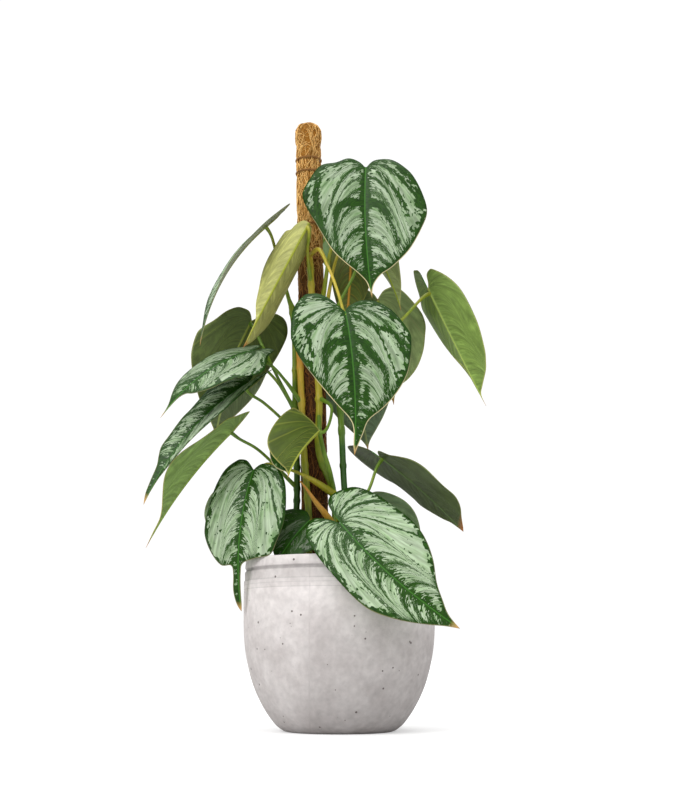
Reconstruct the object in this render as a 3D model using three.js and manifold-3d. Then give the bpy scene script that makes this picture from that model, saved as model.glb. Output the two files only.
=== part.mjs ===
// Potted scindapsus: a climbing aroid with silver and green heart-shaped leaves, on a coir pole in a
// round concrete pot. Millimetres, +Z up. The origin is the centre of the pot's flat foot, on the
// surface that the pot stands on. The plant's front faces -Y and +X is to the right.
import * as THREE from 'three';
import { mergeVertices } from 'three/addons/utils/BufferGeometryUtils.js';
import Module from 'manifold-3d';

const wasm = await Module();
wasm.setup();

// Pot: outer profile as [height, radius], from the foot to the rim, with a flat wall's thickness.
const POT_OUTLINE = [
  [0, 52], [1.5, 56], [7, 63], [18, 71.5], [30, 78.5], [42, 84], [54, 88], [66, 91], [80, 93.5], [98, 95],
  [127, 95.5], [145, 95.5], [146, 94.6], [154, 94.6], [155, 93.6], [157, 93.6], [158, 94.4], [165, 93.6],
  [167, 92.2],
];
const POT_HEIGHT = 167;
const POT_WALL = 9;
const POT_FLOOR = 14;
const POT_SIDES = 40;
// The inside follows the outside up to this height and is upright above it, and its corner with the
// floor is rounded in by this much over this height.
const POT_BELLY_HEIGHT = 127;
const POT_CORNER = 10;
const POT_CORNER_HEIGHT = 16;

// Soil: height at the wall, how far it mounds up to the middle, and how wide the mound is.
const SOIL_TOP = 141;
const SOIL_MOUND = 3;
const SOIL_MOUND_RADIUS = 45;

// Pole: a stake inside wound coir, leaning a little to the left.
const POLE_FOOT = new THREE.Vector3(-22, 5, 80);
const POLE_TOP = new THREE.Vector3(-34.7, 5, 636);
const POLE_RADIUS = 13.2;
const POLE_SIDES = 20;
const STAKE_RADIUS = 6;
const STAKE_SIDES = 12;
const STAKE_BELOW_COIR = 50;
const STAKE_IN_COIR = 300;
const STAKE_TAPER = 12;
const STAKE_TIP_RADIUS = 1.5;
const TWINE_RADIUS = 1.1;
const TWINE_HEIGHTS = [402, 441, 500, 514.5];
// Each twine pinches the coir by this depth, over this half-width and with this reach to either side.
const TWINE_PINCH = 1;
const PINCH_HALF_WIDTH = 1.2;
const PINCH_REACH = 4;
// Rounded top of the coir, as [distance below the top, share of the pole's radius].
const POLE_KNOB = [[30, 1], [27, 0.94], [16, 1.06], [7, 1.02], [2.5, 0.8], [0.6, 0.45]];

// Gap between pieces that touch on the real plant.
const TOUCH_GAP = 0.3;

// Stems: where each leaves the soil, [height, azimuth, distance] round the pole and the free tip. An
// azimuth of 0 is the pole's front (-Y) and 90 its right side (+X).
const STEMS = [
  { name: 'stem_1', radius: 3.4, soil: [-30, -28], climb: [[205, -18], [285, -33], [370, -42]],
    tip: [-43, -14, 398] },
  { name: 'stem_2', radius: 3.4, soil: [-6, -26], climb: [[232, 52, 25], [275, 18], [330, 22], [430, 4]],
    tip: [-31, -17, 484] },
  { name: 'stem_3', radius: 3.2, soil: [14, -12], climb: [[240, 68, 33], [320, 68, 30], [410, 60]],
    tip: [-18, -12, 446] },
  { name: 'stem_4', radius: 3.2, soil: [-48, 8], climb: [[230, -95], [330, -95], [410, -85]],
    tip: [-52, 2, 440] },
];
const STEM_SIDES = 8;
const STEM_STEP = 18;
// A stem starts at this height in the soil, stands upright to this height over it, and then keeps this
// clearance from the pole.
const STEM_ROOT_Z = 100;
const STEM_UPRIGHT = 8;
const STEM_OFF_POLE = 1.8;

// A petiole turns in to the blade's underside over this distance, and meets it at this fraction of the
// midrib, short of it by the touch gap and a little more.
const PETIOLE_RADIUS = 1.6;
const PETIOLE_SIDES = 6;
const PETIOLE_STEP = 13;
const PETIOLE_BEND = 5;
const PETIOLE_AT = 0.03;
const PETIOLE_SHORT = 0.4;

// Leaf blades. The margin waves by this height, this many times from notch to tip.
const BLADE_THICKNESS = 0.9;
const BLADE_WAVE = 2;
const BLADE_WAVES = 2.5;
const BLADE_COLUMNS = 6;
const BLADE_ROWS = 13;
// Fraction of the length where the drip tip starts.
const DRIP_START = 0.87;
// Half of a blade's flat outline, from the notch round a lobe to the drip tip, as [across, along]:
// a fraction of half the width and a fraction of the length.
const BLADE_MARGIN = [
  [0, 0], [0.12, -0.075], [0.4, -0.13], [0.72, -0.085], [0.93, 0.04], [1, 0.2], [0.95, 0.36],
  [0.8, 0.51], [0.57, 0.66], [0.33, 0.78], [0.14, 0.87], [0.05, 0.925], [0.015, 0.965], [0, 1],
];
// Halves that differ from it, in the same shares. With the upper face toward the viewer and the tip
// down, left is the left half.
const OWN_MARGINS = {
  leaf_01: {
    left: [[0, 0.01], [0.12, -0.04], [0.3, -0.065], [0.5, -0.03], [0.75, 0], [0.93, 0.12], [1.03, 0.22],
      [0.97, 0.31], [0.8, 0.44], [0.58, 0.62], [0.4, 0.715], [0.2, 0.8], [0.07, 0.87], [0.025, 0.93], [0, 1]],
    right: [[0, 0.01], [0.12, -0.045], [0.3, -0.055], [0.45, -0.04], [0.62, 0.01], [0.8, 0.095],
      [0.95, 0.24], [1.02, 0.39], [0.93, 0.52], [0.7, 0.685], [0.4, 0.795], [0.2, 0.84], [0.08, 0.89],
      [0.025, 0.94], [0, 1]],
  },
  leaf_02: {
    left: [[0, 0], [0.08, -0.04], [0.2, -0.1], [0.36, -0.15], [0.51, -0.163], [0.66, -0.147], [0.87, -0.05],
      [0.97, 0.12], [0.95, 0.22], [0.82, 0.36], [0.58, 0.52], [0.34, 0.65], [0.1, 0.76], [0.03, 0.83],
      [0.025, 0.93], [0, 1]],
    right: [[0, 0], [0.07, -0.035], [0.27, -0.06], [0.44, -0.05], [0.59, -0.02], [0.81, 0.065], [1, 0.2],
      [1.015, 0.26], [0.96, 0.385], [0.86, 0.5], [0.66, 0.615], [0.44, 0.7], [0.22, 0.77], [0.12, 0.865],
      [0.04, 0.95], [0, 1]],
  },
  leaf_03: {
    left: [[0, 0], [0.13, -0.06], [0.34, -0.12], [0.47, -0.115], [0.6, -0.09], [0.73, -0.03], [0.79, 0.1],
      [0.81, 0.28], [0.83, 0.45], [0.79, 0.56], [0.6, 0.69], [0.32, 0.83], [0.13, 0.92], [0, 1]],
    right: [[0, 0], [0.01, -0.1], [0.06, -0.17], [0.2, -0.205], [0.45, -0.2], [0.74, -0.163], [0.98, -0.04],
      [1.1, 0.15], [1.12, 0.32], [1.02, 0.47], [0.8, 0.61], [0.47, 0.73], [0.27, 0.82], [0.1, 0.9], [0, 1]],
  },
  leaf_04: {
    left: [[0, 0], [0.2, -0.06], [0.37, -0.075], [0.5, -0.065], [0.71, 0], [0.81, 0.12], [0.86, 0.27],
      [0.91, 0.42], [0.89, 0.5], [0.7, 0.605], [0.42, 0.69], [0.17, 0.69], [0.12, 0.75], [0.14, 0.86],
      [0.09, 0.95], [0, 1]],
    right: [[0, 0], [0.15, -0.04], [0.35, -0.04], [0.5, -0.025], [0.7, 0.02], [0.87, 0.105], [0.97, 0.25],
      [0.98, 0.38], [0.9, 0.5], [0.78, 0.6], [0.45, 0.63], [0.12, 0.67], [0.06, 0.74], [0.04, 0.86],
      [0.03, 0.95], [0, 1]],
  },
  leaf_05: {
    left: [[0, 0], [0.08, -0.05], [0.14, -0.1], [0.27, -0.12], [0.4, -0.11], [0.7, -0.01], [0.91, 0.13],
      [1, 0.33], [0.99, 0.47], [0.8, 0.64], [0.63, 0.72], [0.48, 0.78], [0.2, 0.85], [0.03, 0.9], [0, 1]],
    right: [[0, 0], [0.02, -0.11], [0.1, -0.16], [0.25, -0.18], [0.42, -0.185], [0.58, -0.11],
      [0.68, -0.01], [0.87, 0.07], [0.92, 0.13], [0.78, 0.31], [0.52, 0.47], [0.3, 0.56], [0.1, 0.66],
      [0.03, 0.85], [0, 1]],
  },
  leaf_06: {
    left: [[0, 0], [0.15, -0.06], [0.3, -0.08], [0.45, -0.08], [0.62, -0.025], [0.8, 0.08], [0.95, 0.19],
      [1, 0.3], [0.95, 0.4], [0.85, 0.53], [0.65, 0.67], [0.4, 0.77], [0.16, 0.83], [0.05, 0.91], [0, 1]],
  },
  leaf_08: {
    left: [[0, 0], [0.1, -0.03], [0.24, -0.015], [0.38, 0.085], [0.56, 0.165], [0.8, 0.29], [0.95, 0.42],
      [1.05, 0.54], [1.09, 0.64], [1.03, 0.72], [0.97, 0.82], [0.78, 0.9], [0.5, 0.945], [0.2, 0.985],
      [0, 1]],
    right: [[0, 0], [0.02, -0.1], [0.2, -0.23], [0.45, -0.32], [0.64, -0.353], [0.73, -0.27], [0.76, -0.1],
      [0.74, 0.09], [0.67, 0.22], [0.66, 0.4], [0.65, 0.5], [0.49, 0.63], [0.3, 0.77], [0.14, 0.86], [0, 1]],
  },
  leaf_10: {
    left: [[0, 0], [0.1, -0.05], [0.22, -0.1], [0.42, -0.15], [0.57, -0.157], [0.7, -0.15], [0.84, -0.11],
      [0.94, -0.03], [0.955, 0.1], [0.93, 0.24], [0.85, 0.4], [0.62, 0.58], [0.3, 0.8], [0.08, 0.93], [0, 1]],
    right: [[0, 0], [0.07, -0.04], [0.16, -0.065], [0.3, -0.065], [0.45, -0.045], [0.63, 0.03],
      [0.78, 0.14], [0.97, 0.26], [1, 0.33], [0.95, 0.45], [0.87, 0.54], [0.7, 0.65], [0.35, 0.82],
      [0.08, 0.93], [0, 1]],
  },
  leaf_11: {
    left: [[0, 0], [0.1, -0.08], [0.3, -0.17], [0.55, -0.2], [0.8, -0.12], [0.97, 0.02], [1, 0.18],
      [0.95, 0.34], [0.82, 0.5], [0.6, 0.64], [0.35, 0.76], [0.12, 0.86], [0.04, 0.92], [0.02, 0.96], [0, 1]],
    right: [[0, 0], [0.05, -0.1], [0.18, -0.14], [0.35, -0.12], [0.5, -0.03], [0.72, 0.04], [0.95, 0.13],
      [1, 0.22], [0.97, 0.3], [0.78, 0.47], [0.62, 0.61], [0.33, 0.71], [0.15, 0.74], [0.05, 0.8],
      [0.02, 0.9], [0, 1]],
  },
  leaf_12: {
    left: [[0, 0], [0.1, -0.06], [0.3, -0.1], [0.5, -0.06], [0.6, 0.05], [0.58, 0.16], [0.5, 0.27],
      [0.46, 0.36], [0.47, 0.43], [0.42, 0.56], [0.4, 0.65], [0.3, 0.71], [0.19, 0.77], [0.13, 0.87],
      [0.09, 0.94], [0, 1]],
  },
  leaf_13: {
    right: [[0, 0], [0.05, -0.14], [0.12, -0.15], [0.35, -0.05], [0.5, 0.01], [0.6, 0.13], [0.75, 0.23],
      [0.95, 0.34], [1, 0.42], [0.95, 0.52], [0.8, 0.6], [0.55, 0.67], [0.25, 0.74], [0.1, 0.8], [0.05, 0.9],
      [0, 1]],
  },
  leaf_15: {
    left: [[0, 0], [0.25, 0], [0.48, 0.03], [0.8, 0.07], [1.1, 0.12], [1.2, 0.22], [1.2, 0.5],
      [1.15, 0.62], [0.95, 0.72], [0.6, 0.82], [0.35, 0.9], [0.1, 0.96], [0.03, 0.98], [0, 1]],
    right: [[0, 0], [0.2, -0.015], [0.4, -0.01], [0.6, 0.025], [0.7, 0.06], [1, 0.08], [1.14, 0.19],
      [1.18, 0.26], [1.1, 0.34], [0.95, 0.42], [0.7, 0.53], [0.45, 0.65], [0.1, 0.77], [0.03, 0.88], [0, 1]],
  },
  leaf_16: {
    left: [[0, 0], [0.02, -0.08], [0.1, -0.15], [0.25, -0.18], [0.4, -0.14], [0.6, 0], [0.8, 0.15],
      [0.9, 0.3], [0.85, 0.45], [0.65, 0.6], [0.4, 0.73], [0.2, 0.83], [0.08, 0.92], [0.03, 0.96], [0, 1]],
    right: [[0, 0], [0.02, -0.08], [0.1, -0.15], [0.25, -0.18], [0.4, -0.14], [0.6, 0], [0.8, 0.15],
      [0.9, 0.3], [0.85, 0.45], [0.65, 0.6], [0.4, 0.73], [0.2, 0.83], [0.08, 0.92], [0.03, 0.96], [0, 1]],
  },
};

// Each leaf: notch and tip of the midrib, the way its upper face looks, width, height of the midrib's
// arch, fold and curl of the halves (radians), sideways bow, depth of the lobes, fullness toward the
// tip, share of the drip tip, and the petiole's stem, height on it and bends.
const LEAVES = [
  { name: 'leaf_01', base: [27, -48, 567], tip: [33, -58, 423.5], face: [-0.09, -0.99, 0.07], width: 124,
    arch: 6, fold: 0.12, curl: -0.15, sway: 3, stem: 3, height: 437,
    via: [[-9, -34, 482], [8, -30, 530]] },
  { name: 'leaf_02', base: [6, -66, 408], tip: [15, -76, 262], face: [0.04, -1, 0.07], width: 118, arch: 8,
    fold: 0.12, curl: -0.15, sway: -4, stem: 2, height: 480,
    via: [[-21, -36, 482], [-12, -42, 463], [-3, -54, 436]] },
  { name: 'leaf_03', base: [2, -82, 196], tip: [111, -112, 97], face: [0.06, -0.93, 0.36], width: 97,
    arch: 8, fold: 0.1, curl: -0.2, sway: 9, stem: 2, height: 196, via: [[2, -46, 207]] },
  { name: 'leaf_04', base: [-85, -36, 254], tip: [-95, -33, 115], face: [-0.43, -0.9, 0], width: 92,
    arch: 16, fold: 0.1, curl: -0.3, stem: 2, height: 232,
    via: [[-31, -28, 247], [-53, -30, 256], [-74, -24, 261]] },
  { name: 'leaf_05', base: [92, -20, 444], tip: [147, -40, 317], face: [0.82, 0.49, 0.28], width: 77,
    arch: 4, fold: 0.3, curl: -0.1, sway: -6, stem: 3, height: 340,
    via: [[25, -24, 372], [64, -36, 408]] },
  { name: 'leaf_06', base: [40, 10, 442], tip: [56, 2, 326], face: [0.24, 0.97, -0.03], width: 90, arch: 6,
    fold: 0.1, curl: 0.1, stem: 3, height: 360, via: [[14, -8, 405]] },
  { name: 'leaf_07', base: [13, -4, 516], tip: [6, -18, 396], face: [0.15, 0.98, -0.12], width: 54, arch: 6,
    fold: 0.4, curl: 0.1, lobe: 0.5, stem: 3, height: 420, via: [[-4, -20, 475]] },
  { name: 'leaf_08', base: [41, -22, 269], tip: [121, -50, 191], face: [0.72, 0.31, 0.63], width: 82,
    arch: 3, fold: -0.05, curl: 0.1, stem: 3, height: 190,
    via: [[16, -34, 210], [30, -30, 236]] },
  { name: 'leaf_09', base: [13, 36, 397], tip: [30, 22, 281], face: [-0.15, 0.98, -0.12], width: 84,
    arch: 6, fold: 0.1, curl: 0, stem: 3, height: 300, via: [[4, 4, 350]] },
  { name: 'leaf_10', base: [-92, 0, 416], tip: [-138, -6, 307], face: [-0.36, 0.93, 0.11], width: 90,
    arch: 5, fold: 0.1, curl: 0, stem: 1, height: 300,
    via: [[-67, -20, 359], [-79, -20, 384]] },
  { name: 'leaf_11', base: [-87, -40, 374.5], tip: [-171, -90, 296], face: [-0.24, -0.66, 0.71], width: 78,
    arch: 12, fold: -0.05, curl: -0.3, stem: 1, height: 325,
    via: [[-54, -20, 346], [-70, -28, 362]] },
  { name: 'leaf_12', base: [-93, -26, 344], tip: [-189, -62, 216], face: [-0.49, -0.67, 0.56], width: 84,
    arch: 14, fold: 0.35, curl: 0, full: 0.2, drip: 0.05, stem: 1, height: 285,
    via: [[-53, -17, 303], [-78, -16, 326]] },
  { name: 'leaf_13', base: [-107, -16, 298], tip: [-189, -40, 176], face: [-0.83, 0, 0.56], width: 78,
    arch: 6, fold: 0.45, curl: 0, full: 0.1, drip: 0.2, stem: 4, height: 240, via: [[-83, -12, 278]] },
  { name: 'leaf_14', base: [-19, -46, 291], tip: [-49, -77, 240], face: [-0.89, 0.27, 0.36], width: 80,
    arch: 4, fold: 1.1, curl: 0.3, lobe: 0.2, full: 0.6, stem: 2, height: 330, via: [[-8, -30, 318]] },
  { name: 'leaf_15', base: [-31, -45, 507], tip: [-94, -80, 367], face: [-0.38, 0.92, -0.07], width: 56,
    arch: 3, fold: 0.8, curl: 0.4, stem: 2, height: 450, via: [[-33, -30, 480]] },
  { name: 'leaf_16', base: [-74, -20, 515], tip: [-140, -46, 378], face: [-0.84, -0.3, 0.45], width: 76,
    arch: 13, fold: 0.12, curl: 0, stem: 4, height: 425, via: [[-66, -2, 484]] },
  { name: 'leaf_17', base: [-29, -40, 203], tip: [-62, -54, 157], face: [-0.24, -0.84, 0.49], width: 60,
    arch: 4, fold: 0.1, curl: -0.1, full: 0.2, stem: 2, height: 170 },
  { name: 'leaf_18', base: [31, -28, 495], tip: [63, -32, 418], face: [0.85, 0.4, 0.33], width: 46, arch: 3,
    fold: 0.4, curl: 0, stem: 3, height: 400, via: [[0, -26, 428], [14, -30, 455]] },
  { name: 'leaf_19', base: [8, 48, 560], tip: [13, 82, 460], face: [0.1, 0.9, 0.4], width: 92, arch: 8,
    fold: 0.1, curl: -0.2, stem: 4, height: 400, via: [[-26, 34, 500]] },
  { name: 'leaf_20', base: [-2, 58, 415], tip: [6, 90, 320], face: [0.1, 0.9, 0.4], width: 88, arch: 8,
    fold: 0.1, curl: -0.2, stem: 4, height: 320, via: [[-38, 30, 360], [-18, 50, 395]] },
  { name: 'leaf_21', base: [-103, 40, 399], tip: [-135, 66, 300], face: [-0.5, 0.8, 0.4], width: 80,
    arch: 8, fold: 0.1, curl: -0.2, stem: 4, height: 320, via: [[-70, 34, 362]] },
  { name: 'leaf_22', base: [30, 52, 229], tip: [81, 100, 147], face: [0.4, 0.7, 0.6], width: 84, arch: 8,
    fold: 0.1, curl: -0.2, stem: 3, height: 170, via: [[16, 20, 205]] },
  { name: 'leaf_23', base: [-99, 42, 241], tip: [-122, 92, 173], face: [-0.4, 0.7, 0.6], width: 78, arch: 8,
    fold: 0.1, curl: -0.2, stem: 4, height: 190, via: [[-70, 24, 220]] },
];

const UP = new THREE.Vector3(0, 0, 1);
const vec = (p) => new THREE.Vector3(...p);

function look(colour, roughness) {
  return new THREE.MeshStandardMaterial({ color: colour, roughness, metalness: 0 });
}

const CONCRETE = look('#cfc9c7', 0.85);
const EARTH = look('#3b2a20', 0.95);
const COIR = look('#a8743a', 0.9);
const TIMBER = look('#b08a5a', 0.8);
const TWINE = look('#6d4a26', 0.9);
const STEM_GREEN = look('#7f9a3a', 0.55);
const LEAF_GREEN = look('#6f9468', 0.45);

// Turns a closed geometry into a solid that can be cut and joined.
function solidOf(geometry) {
  const bare = geometry.clone();
  bare.deleteAttribute('normal');
  bare.deleteAttribute('uv');
  const merged = mergeVertices(bare, 1e-4);
  return new wasm.Manifold(new wasm.Mesh({
    numProp: 3,
    vertProperties: new Float32Array(merged.attributes.position.array),
    triVerts: new Uint32Array(merged.index.array),
  }));
}

function geometryOf(solid) {
  const { vertProperties, triVerts } = solid.getMesh();
  const geometry = new THREE.BufferGeometry();
  geometry.setAttribute('position', new THREE.BufferAttribute(new Float32Array(vertProperties), 3));
  geometry.setIndex(new THREE.BufferAttribute(new Uint32Array(triVerts), 1));
  geometry.computeVertexNormals();
  return geometry;
}

function named(name, geometry, material) {
  const made = new THREE.Mesh(geometry, material);
  made.name = name;
  return made;
}

// A turned body from [height, radius] pairs that start and end on the axis, going up the outside.
function turned(profile, sides) {
  const outline = profile.map(([z, r]) => new THREE.Vector2(r, z));
  return new THREE.LatheGeometry(outline, sides).rotateX(Math.PI / 2);
}

// Pot and soil.
function potRadius(z) {
  const above = Math.max(POT_OUTLINE.findIndex(([height]) => height >= z), 1);
  const [z0, r0] = POT_OUTLINE[above - 1];
  const [z1, r1] = POT_OUTLINE[above];
  return r0 + (r1 - r0) * (z - z0) / (z1 - z0);
}

const INNER_HEIGHTS = [POT_FLOOR, POT_FLOOR + 5, 30, 46, 66, 98, POT_HEIGHT - 3];
function innerRadius(z) {
  const corner = POT_CORNER * Math.max(0, 1 - (z - POT_FLOOR) / POT_CORNER_HEIGHT) ** 2;
  return potRadius(Math.min(z, POT_BELLY_HEIGHT)) - POT_WALL - corner;
}

function makePot() {
  const inside = INNER_HEIGHTS.map((z) => [z, innerRadius(z)]).reverse();
  const lip = [POT_HEIGHT, innerRadius(POT_HEIGHT) + 1];
  return turned([[0, 0], ...POT_OUTLINE, lip, ...inside, [POT_FLOOR, 0]], POT_SIDES);
}

function makeSoil(holes) {
  const heights = [...INNER_HEIGHTS.slice(1, -1), SOIL_TOP - 1];
  const wall = heights.map((z) => [z, innerRadius(z) - TOUCH_GAP]);
  const bottom = POT_FLOOR + TOUCH_GAP;
  const profile = [[bottom, 0], [bottom, innerRadius(POT_FLOOR) - TOUCH_GAP], ...wall,
    [SOIL_TOP, innerRadius(SOIL_TOP) - 4], [SOIL_TOP + 0.7 * SOIL_MOUND, SOIL_MOUND_RADIUS],
    [SOIL_TOP + SOIL_MOUND, 0]];
  return holes.reduce((soil, hole) => soil.subtract(hole), solidOf(turned(profile, POT_SIDES)));
}

// Pole, in its own upright frame with the coir's lower end at the origin.
const poleLean = new THREE.Quaternion().setFromUnitVectors(UP, POLE_TOP.clone().sub(POLE_FOOT).normalize());
const POLE_LENGTH = POLE_TOP.distanceTo(POLE_FOOT);

function makeCoir() {
  const waist = POLE_RADIUS - TWINE_PINCH;
  const pinches = TWINE_HEIGHTS.flatMap((z) => [
    [z - PINCH_REACH, POLE_RADIUS], [z - PINCH_HALF_WIDTH, waist], [z + PINCH_HALF_WIDTH, waist],
    [z + PINCH_REACH, POLE_RADIUS]]);
  const knob = POLE_KNOB.map(([down, share]) => [POLE_LENGTH - down, POLE_RADIUS * share]);
  const bore = STAKE_RADIUS + TOUCH_GAP;
  const profile = [[0, bore], [0, POLE_RADIUS - 1], [2, POLE_RADIUS], ...pinches, ...knob,
    [POLE_LENGTH, 0], [STAKE_IN_COIR + TOUCH_GAP, 0], [STAKE_IN_COIR + TOUCH_GAP, bore], [0, bore]];
  return turned(profile, POLE_SIDES);
}

function makeStake() {
  const point = -STAKE_BELOW_COIR;
  const profile = [[point, 0], [point, STAKE_TIP_RADIUS], [point + STAKE_TAPER, STAKE_RADIUS],
    [STAKE_IN_COIR, STAKE_RADIUS], [STAKE_IN_COIR, 0]];
  return turned(profile, STAKE_SIDES);
}

function makeTwine(height) {
  const ring = POLE_RADIUS - TWINE_PINCH + TWINE_RADIUS + TOUCH_GAP;
  return new THREE.TorusGeometry(ring, TWINE_RADIUS, 6, POLE_SIDES).translate(0, 0, height);
}

// The room that the pole takes, with its gap, as a solid in the plant's frame.
function poleRoom() {
  const wide = POLE_RADIUS + TOUCH_GAP;
  const narrow = STAKE_RADIUS + TOUCH_GAP;
  const from = -STAKE_BELOW_COIR - TOUCH_GAP;
  const profile = [[from, 0], [from, narrow], [-TOUCH_GAP, narrow], [-TOUCH_GAP, wide], [POLE_LENGTH, wide],
    [POLE_LENGTH, 0]];
  const room = turned(profile, POLE_SIDES);
  room.applyQuaternion(poleLean);
  return solidOf(room.translate(...POLE_FOOT));
}

// A point beside the pole: at a height, an azimuth and a distance from the pole's axis.
function besidePole(z, azimuth, distance) {
  const turn = THREE.MathUtils.degToRad(azimuth);
  const axis = POLE_FOOT.clone().lerp(POLE_TOP, (z - POLE_FOOT.z) / (POLE_TOP.z - POLE_FOOT.z));
  return axis.add(new THREE.Vector3(Math.sin(turn) * distance, -Math.cos(turn) * distance, 0));
}

// Stems and petioles.
function stemPath(stem) {
  const [x, y] = stem.soil;
  const close = POLE_RADIUS + stem.radius + STEM_OFF_POLE;
  const climb = stem.climb.map(([z, azimuth, distance]) => besidePole(z, azimuth, distance ?? close));
  const root = [new THREE.Vector3(x, y, STEM_ROOT_Z), new THREE.Vector3(x, y, SOIL_TOP + STEM_UPRIGHT)];
  return new THREE.CatmullRomCurve3([...root, ...climb, vec(stem.tip)]);
}

function pointAtHeight(path, z) {
  let low = 0;
  let high = 1;
  for (let pass = 0; pass < 30; pass += 1) {
    const middle = (low + high) / 2;
    if (path.getPoint(middle).z < z) low = middle;
    else high = middle;
  }
  return path.getPoint(low);
}

function tube(path, radius, sides, step) {
  const circle = new THREE.Shape().absarc(0, 0, radius, 0, Math.PI * 2);
  const steps = Math.max(3, Math.round(path.getLength() / step));
  const ring = new THREE.Shape(circle.getSpacedPoints(sides).slice(0, sides));
  return new THREE.ExtrudeGeometry(ring, { steps, extrudePath: path, bevelEnabled: false });
}

function petiolePath(leaf) {
  const root = pointAtHeight(stemPath(STEMS[leaf.stem - 1]), leaf.height);
  const via = (leaf.via ?? []).map(vec);
  const { point, normal } = midribAt(leaf, bladeFrame(leaf), PETIOLE_AT);
  const end = point.clone().addScaledVector(normal, -BLADE_THICKNESS / 2 - TOUCH_GAP - PETIOLE_SHORT);
  const toward = (via.at(-1) ?? root).clone().sub(end).normalize();
  const neck = end.clone().addScaledVector(normal, -PETIOLE_BEND).addScaledVector(toward, PETIOLE_BEND);
  return new THREE.CatmullRomCurve3([root, ...via, neck, end]);
}

function makePetiole(leaf) {
  return solidOf(tube(petiolePath(leaf), PETIOLE_RADIUS, PETIOLE_SIDES, PETIOLE_STEP));
}

// A stem with its petioles, clear of the blades and of the pole.
function makeStem(stem, leaves, room) {
  const bare = solidOf(tube(stemPath(stem), stem.radius, STEM_SIDES, STEM_STEP));
  const petioles = leaves.map(makePetiole);
  const grown = petioles.reduce((plant, petiole) => plant.add(petiole), bare);
  const cleared = leaves.reduce((plant, leaf) => plant.subtract(bladeRoom(leaf)), grown);
  return cleared.subtract(room);
}

// The hole that a stem fills in the soil.
function stemHole(stem) {
  return solidOf(tube(stemPath(stem), stem.radius + TOUCH_GAP, STEM_SIDES, STEM_STEP));
}

// Leaf blades.
const marginCurve = (shares) => new THREE.SplineCurve(shares.map(([x, y]) => new THREE.Vector2(x, y)));
const commonMargin = marginCurve(BLADE_MARGIN);

function bladeFrame(leaf) {
  const base = vec(leaf.base);
  const along = vec(leaf.tip).sub(base);
  const length = along.length();
  along.normalize();
  const face = vec(leaf.face);
  face.addScaledVector(along, -face.dot(along)).normalize();
  const side = new THREE.Vector3().crossVectors(along, face);
  return { base, along, face, side, length };
}

// Midrib point, normal and sideways direction at a fraction of the blade's length.
function midribAt(leaf, frame, t) {
  const inside = Math.max(t, 0);
  const bow = t < 0 ? 4 * t : 4 * t * (1 - t);
  const slope = 4 * (1 - 2 * inside) / frame.length;
  const sway = leaf.sway ?? 0;
  const point = frame.base.clone().addScaledVector(frame.along, t * frame.length)
    .addScaledVector(frame.face, leaf.arch * bow).addScaledVector(frame.side, sway * bow);
  const tangent = frame.along.clone().addScaledVector(frame.face, leaf.arch * slope)
    .addScaledVector(frame.side, sway * slope).normalize();
  const side = frame.side.clone().addScaledVector(tangent, -tangent.dot(frame.side)).normalize();
  const normal = new THREE.Vector3().crossVectors(side, tangent);
  return { point, normal, side };
}

// Moves the margin toward the tip by the fullness, and gives the drip tip a larger share of the length.
function stretched(along, full, drip) {
  const neck = DRIP_START * (1 - drip);
  const share = along / DRIP_START;
  if (share > 1) return 1 - (1 - along) * (1 - neck) / (1 - DRIP_START);
  return neck * (share + full * share * (1 - share));
}

// Margin point of one half, by its share of the way from the notch to the tip.
function marginAt(leaf, half, b) {
  const own = OWN_MARGINS[leaf.name]?.[half];
  if (own) return marginCurve(own).getPoint(b);
  const margin = commonMargin.getPoint(b);
  margin.y = margin.y < 0
    ? margin.y * (leaf.lobe ?? 1)
    : stretched(margin.y, leaf.full ?? 0, leaf.drip ?? 0);
  return margin;
}

// Point of the blade's middle surface: a runs from margin to margin (-1 to 1), b from notch to tip.
function bladePoint(leaf, frame, a, b) {
  const margin = marginAt(leaf, a > 0 ? 'left' : 'right', b);
  const reach = Math.abs(a) * margin.x;
  const spine = b ** 1.5;
  const t = spine + (margin.y - spine) * a * a;
  const { point, normal, side } = midribAt(leaf, frame, t);
  const { fold, curl } = leaf;
  const bent = fold + curl * reach;
  const across = curl === 0 ? reach * Math.cos(fold) : (Math.sin(bent) - Math.sin(fold)) / curl;
  const lift = curl === 0 ? reach * Math.sin(fold) : (Math.cos(fold) - Math.cos(bent)) / curl;
  const phase = 2 * Math.PI * BLADE_WAVES * b + 2 * Math.sign(a);
  const ripple = BLADE_WAVE * reach * reach * Math.sin(phase);
  const half = leaf.width / 2;
  point.addScaledVector(side, Math.sign(a) * across * half);
  return point.addScaledVector(normal, lift * half + ripple);
}

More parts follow.
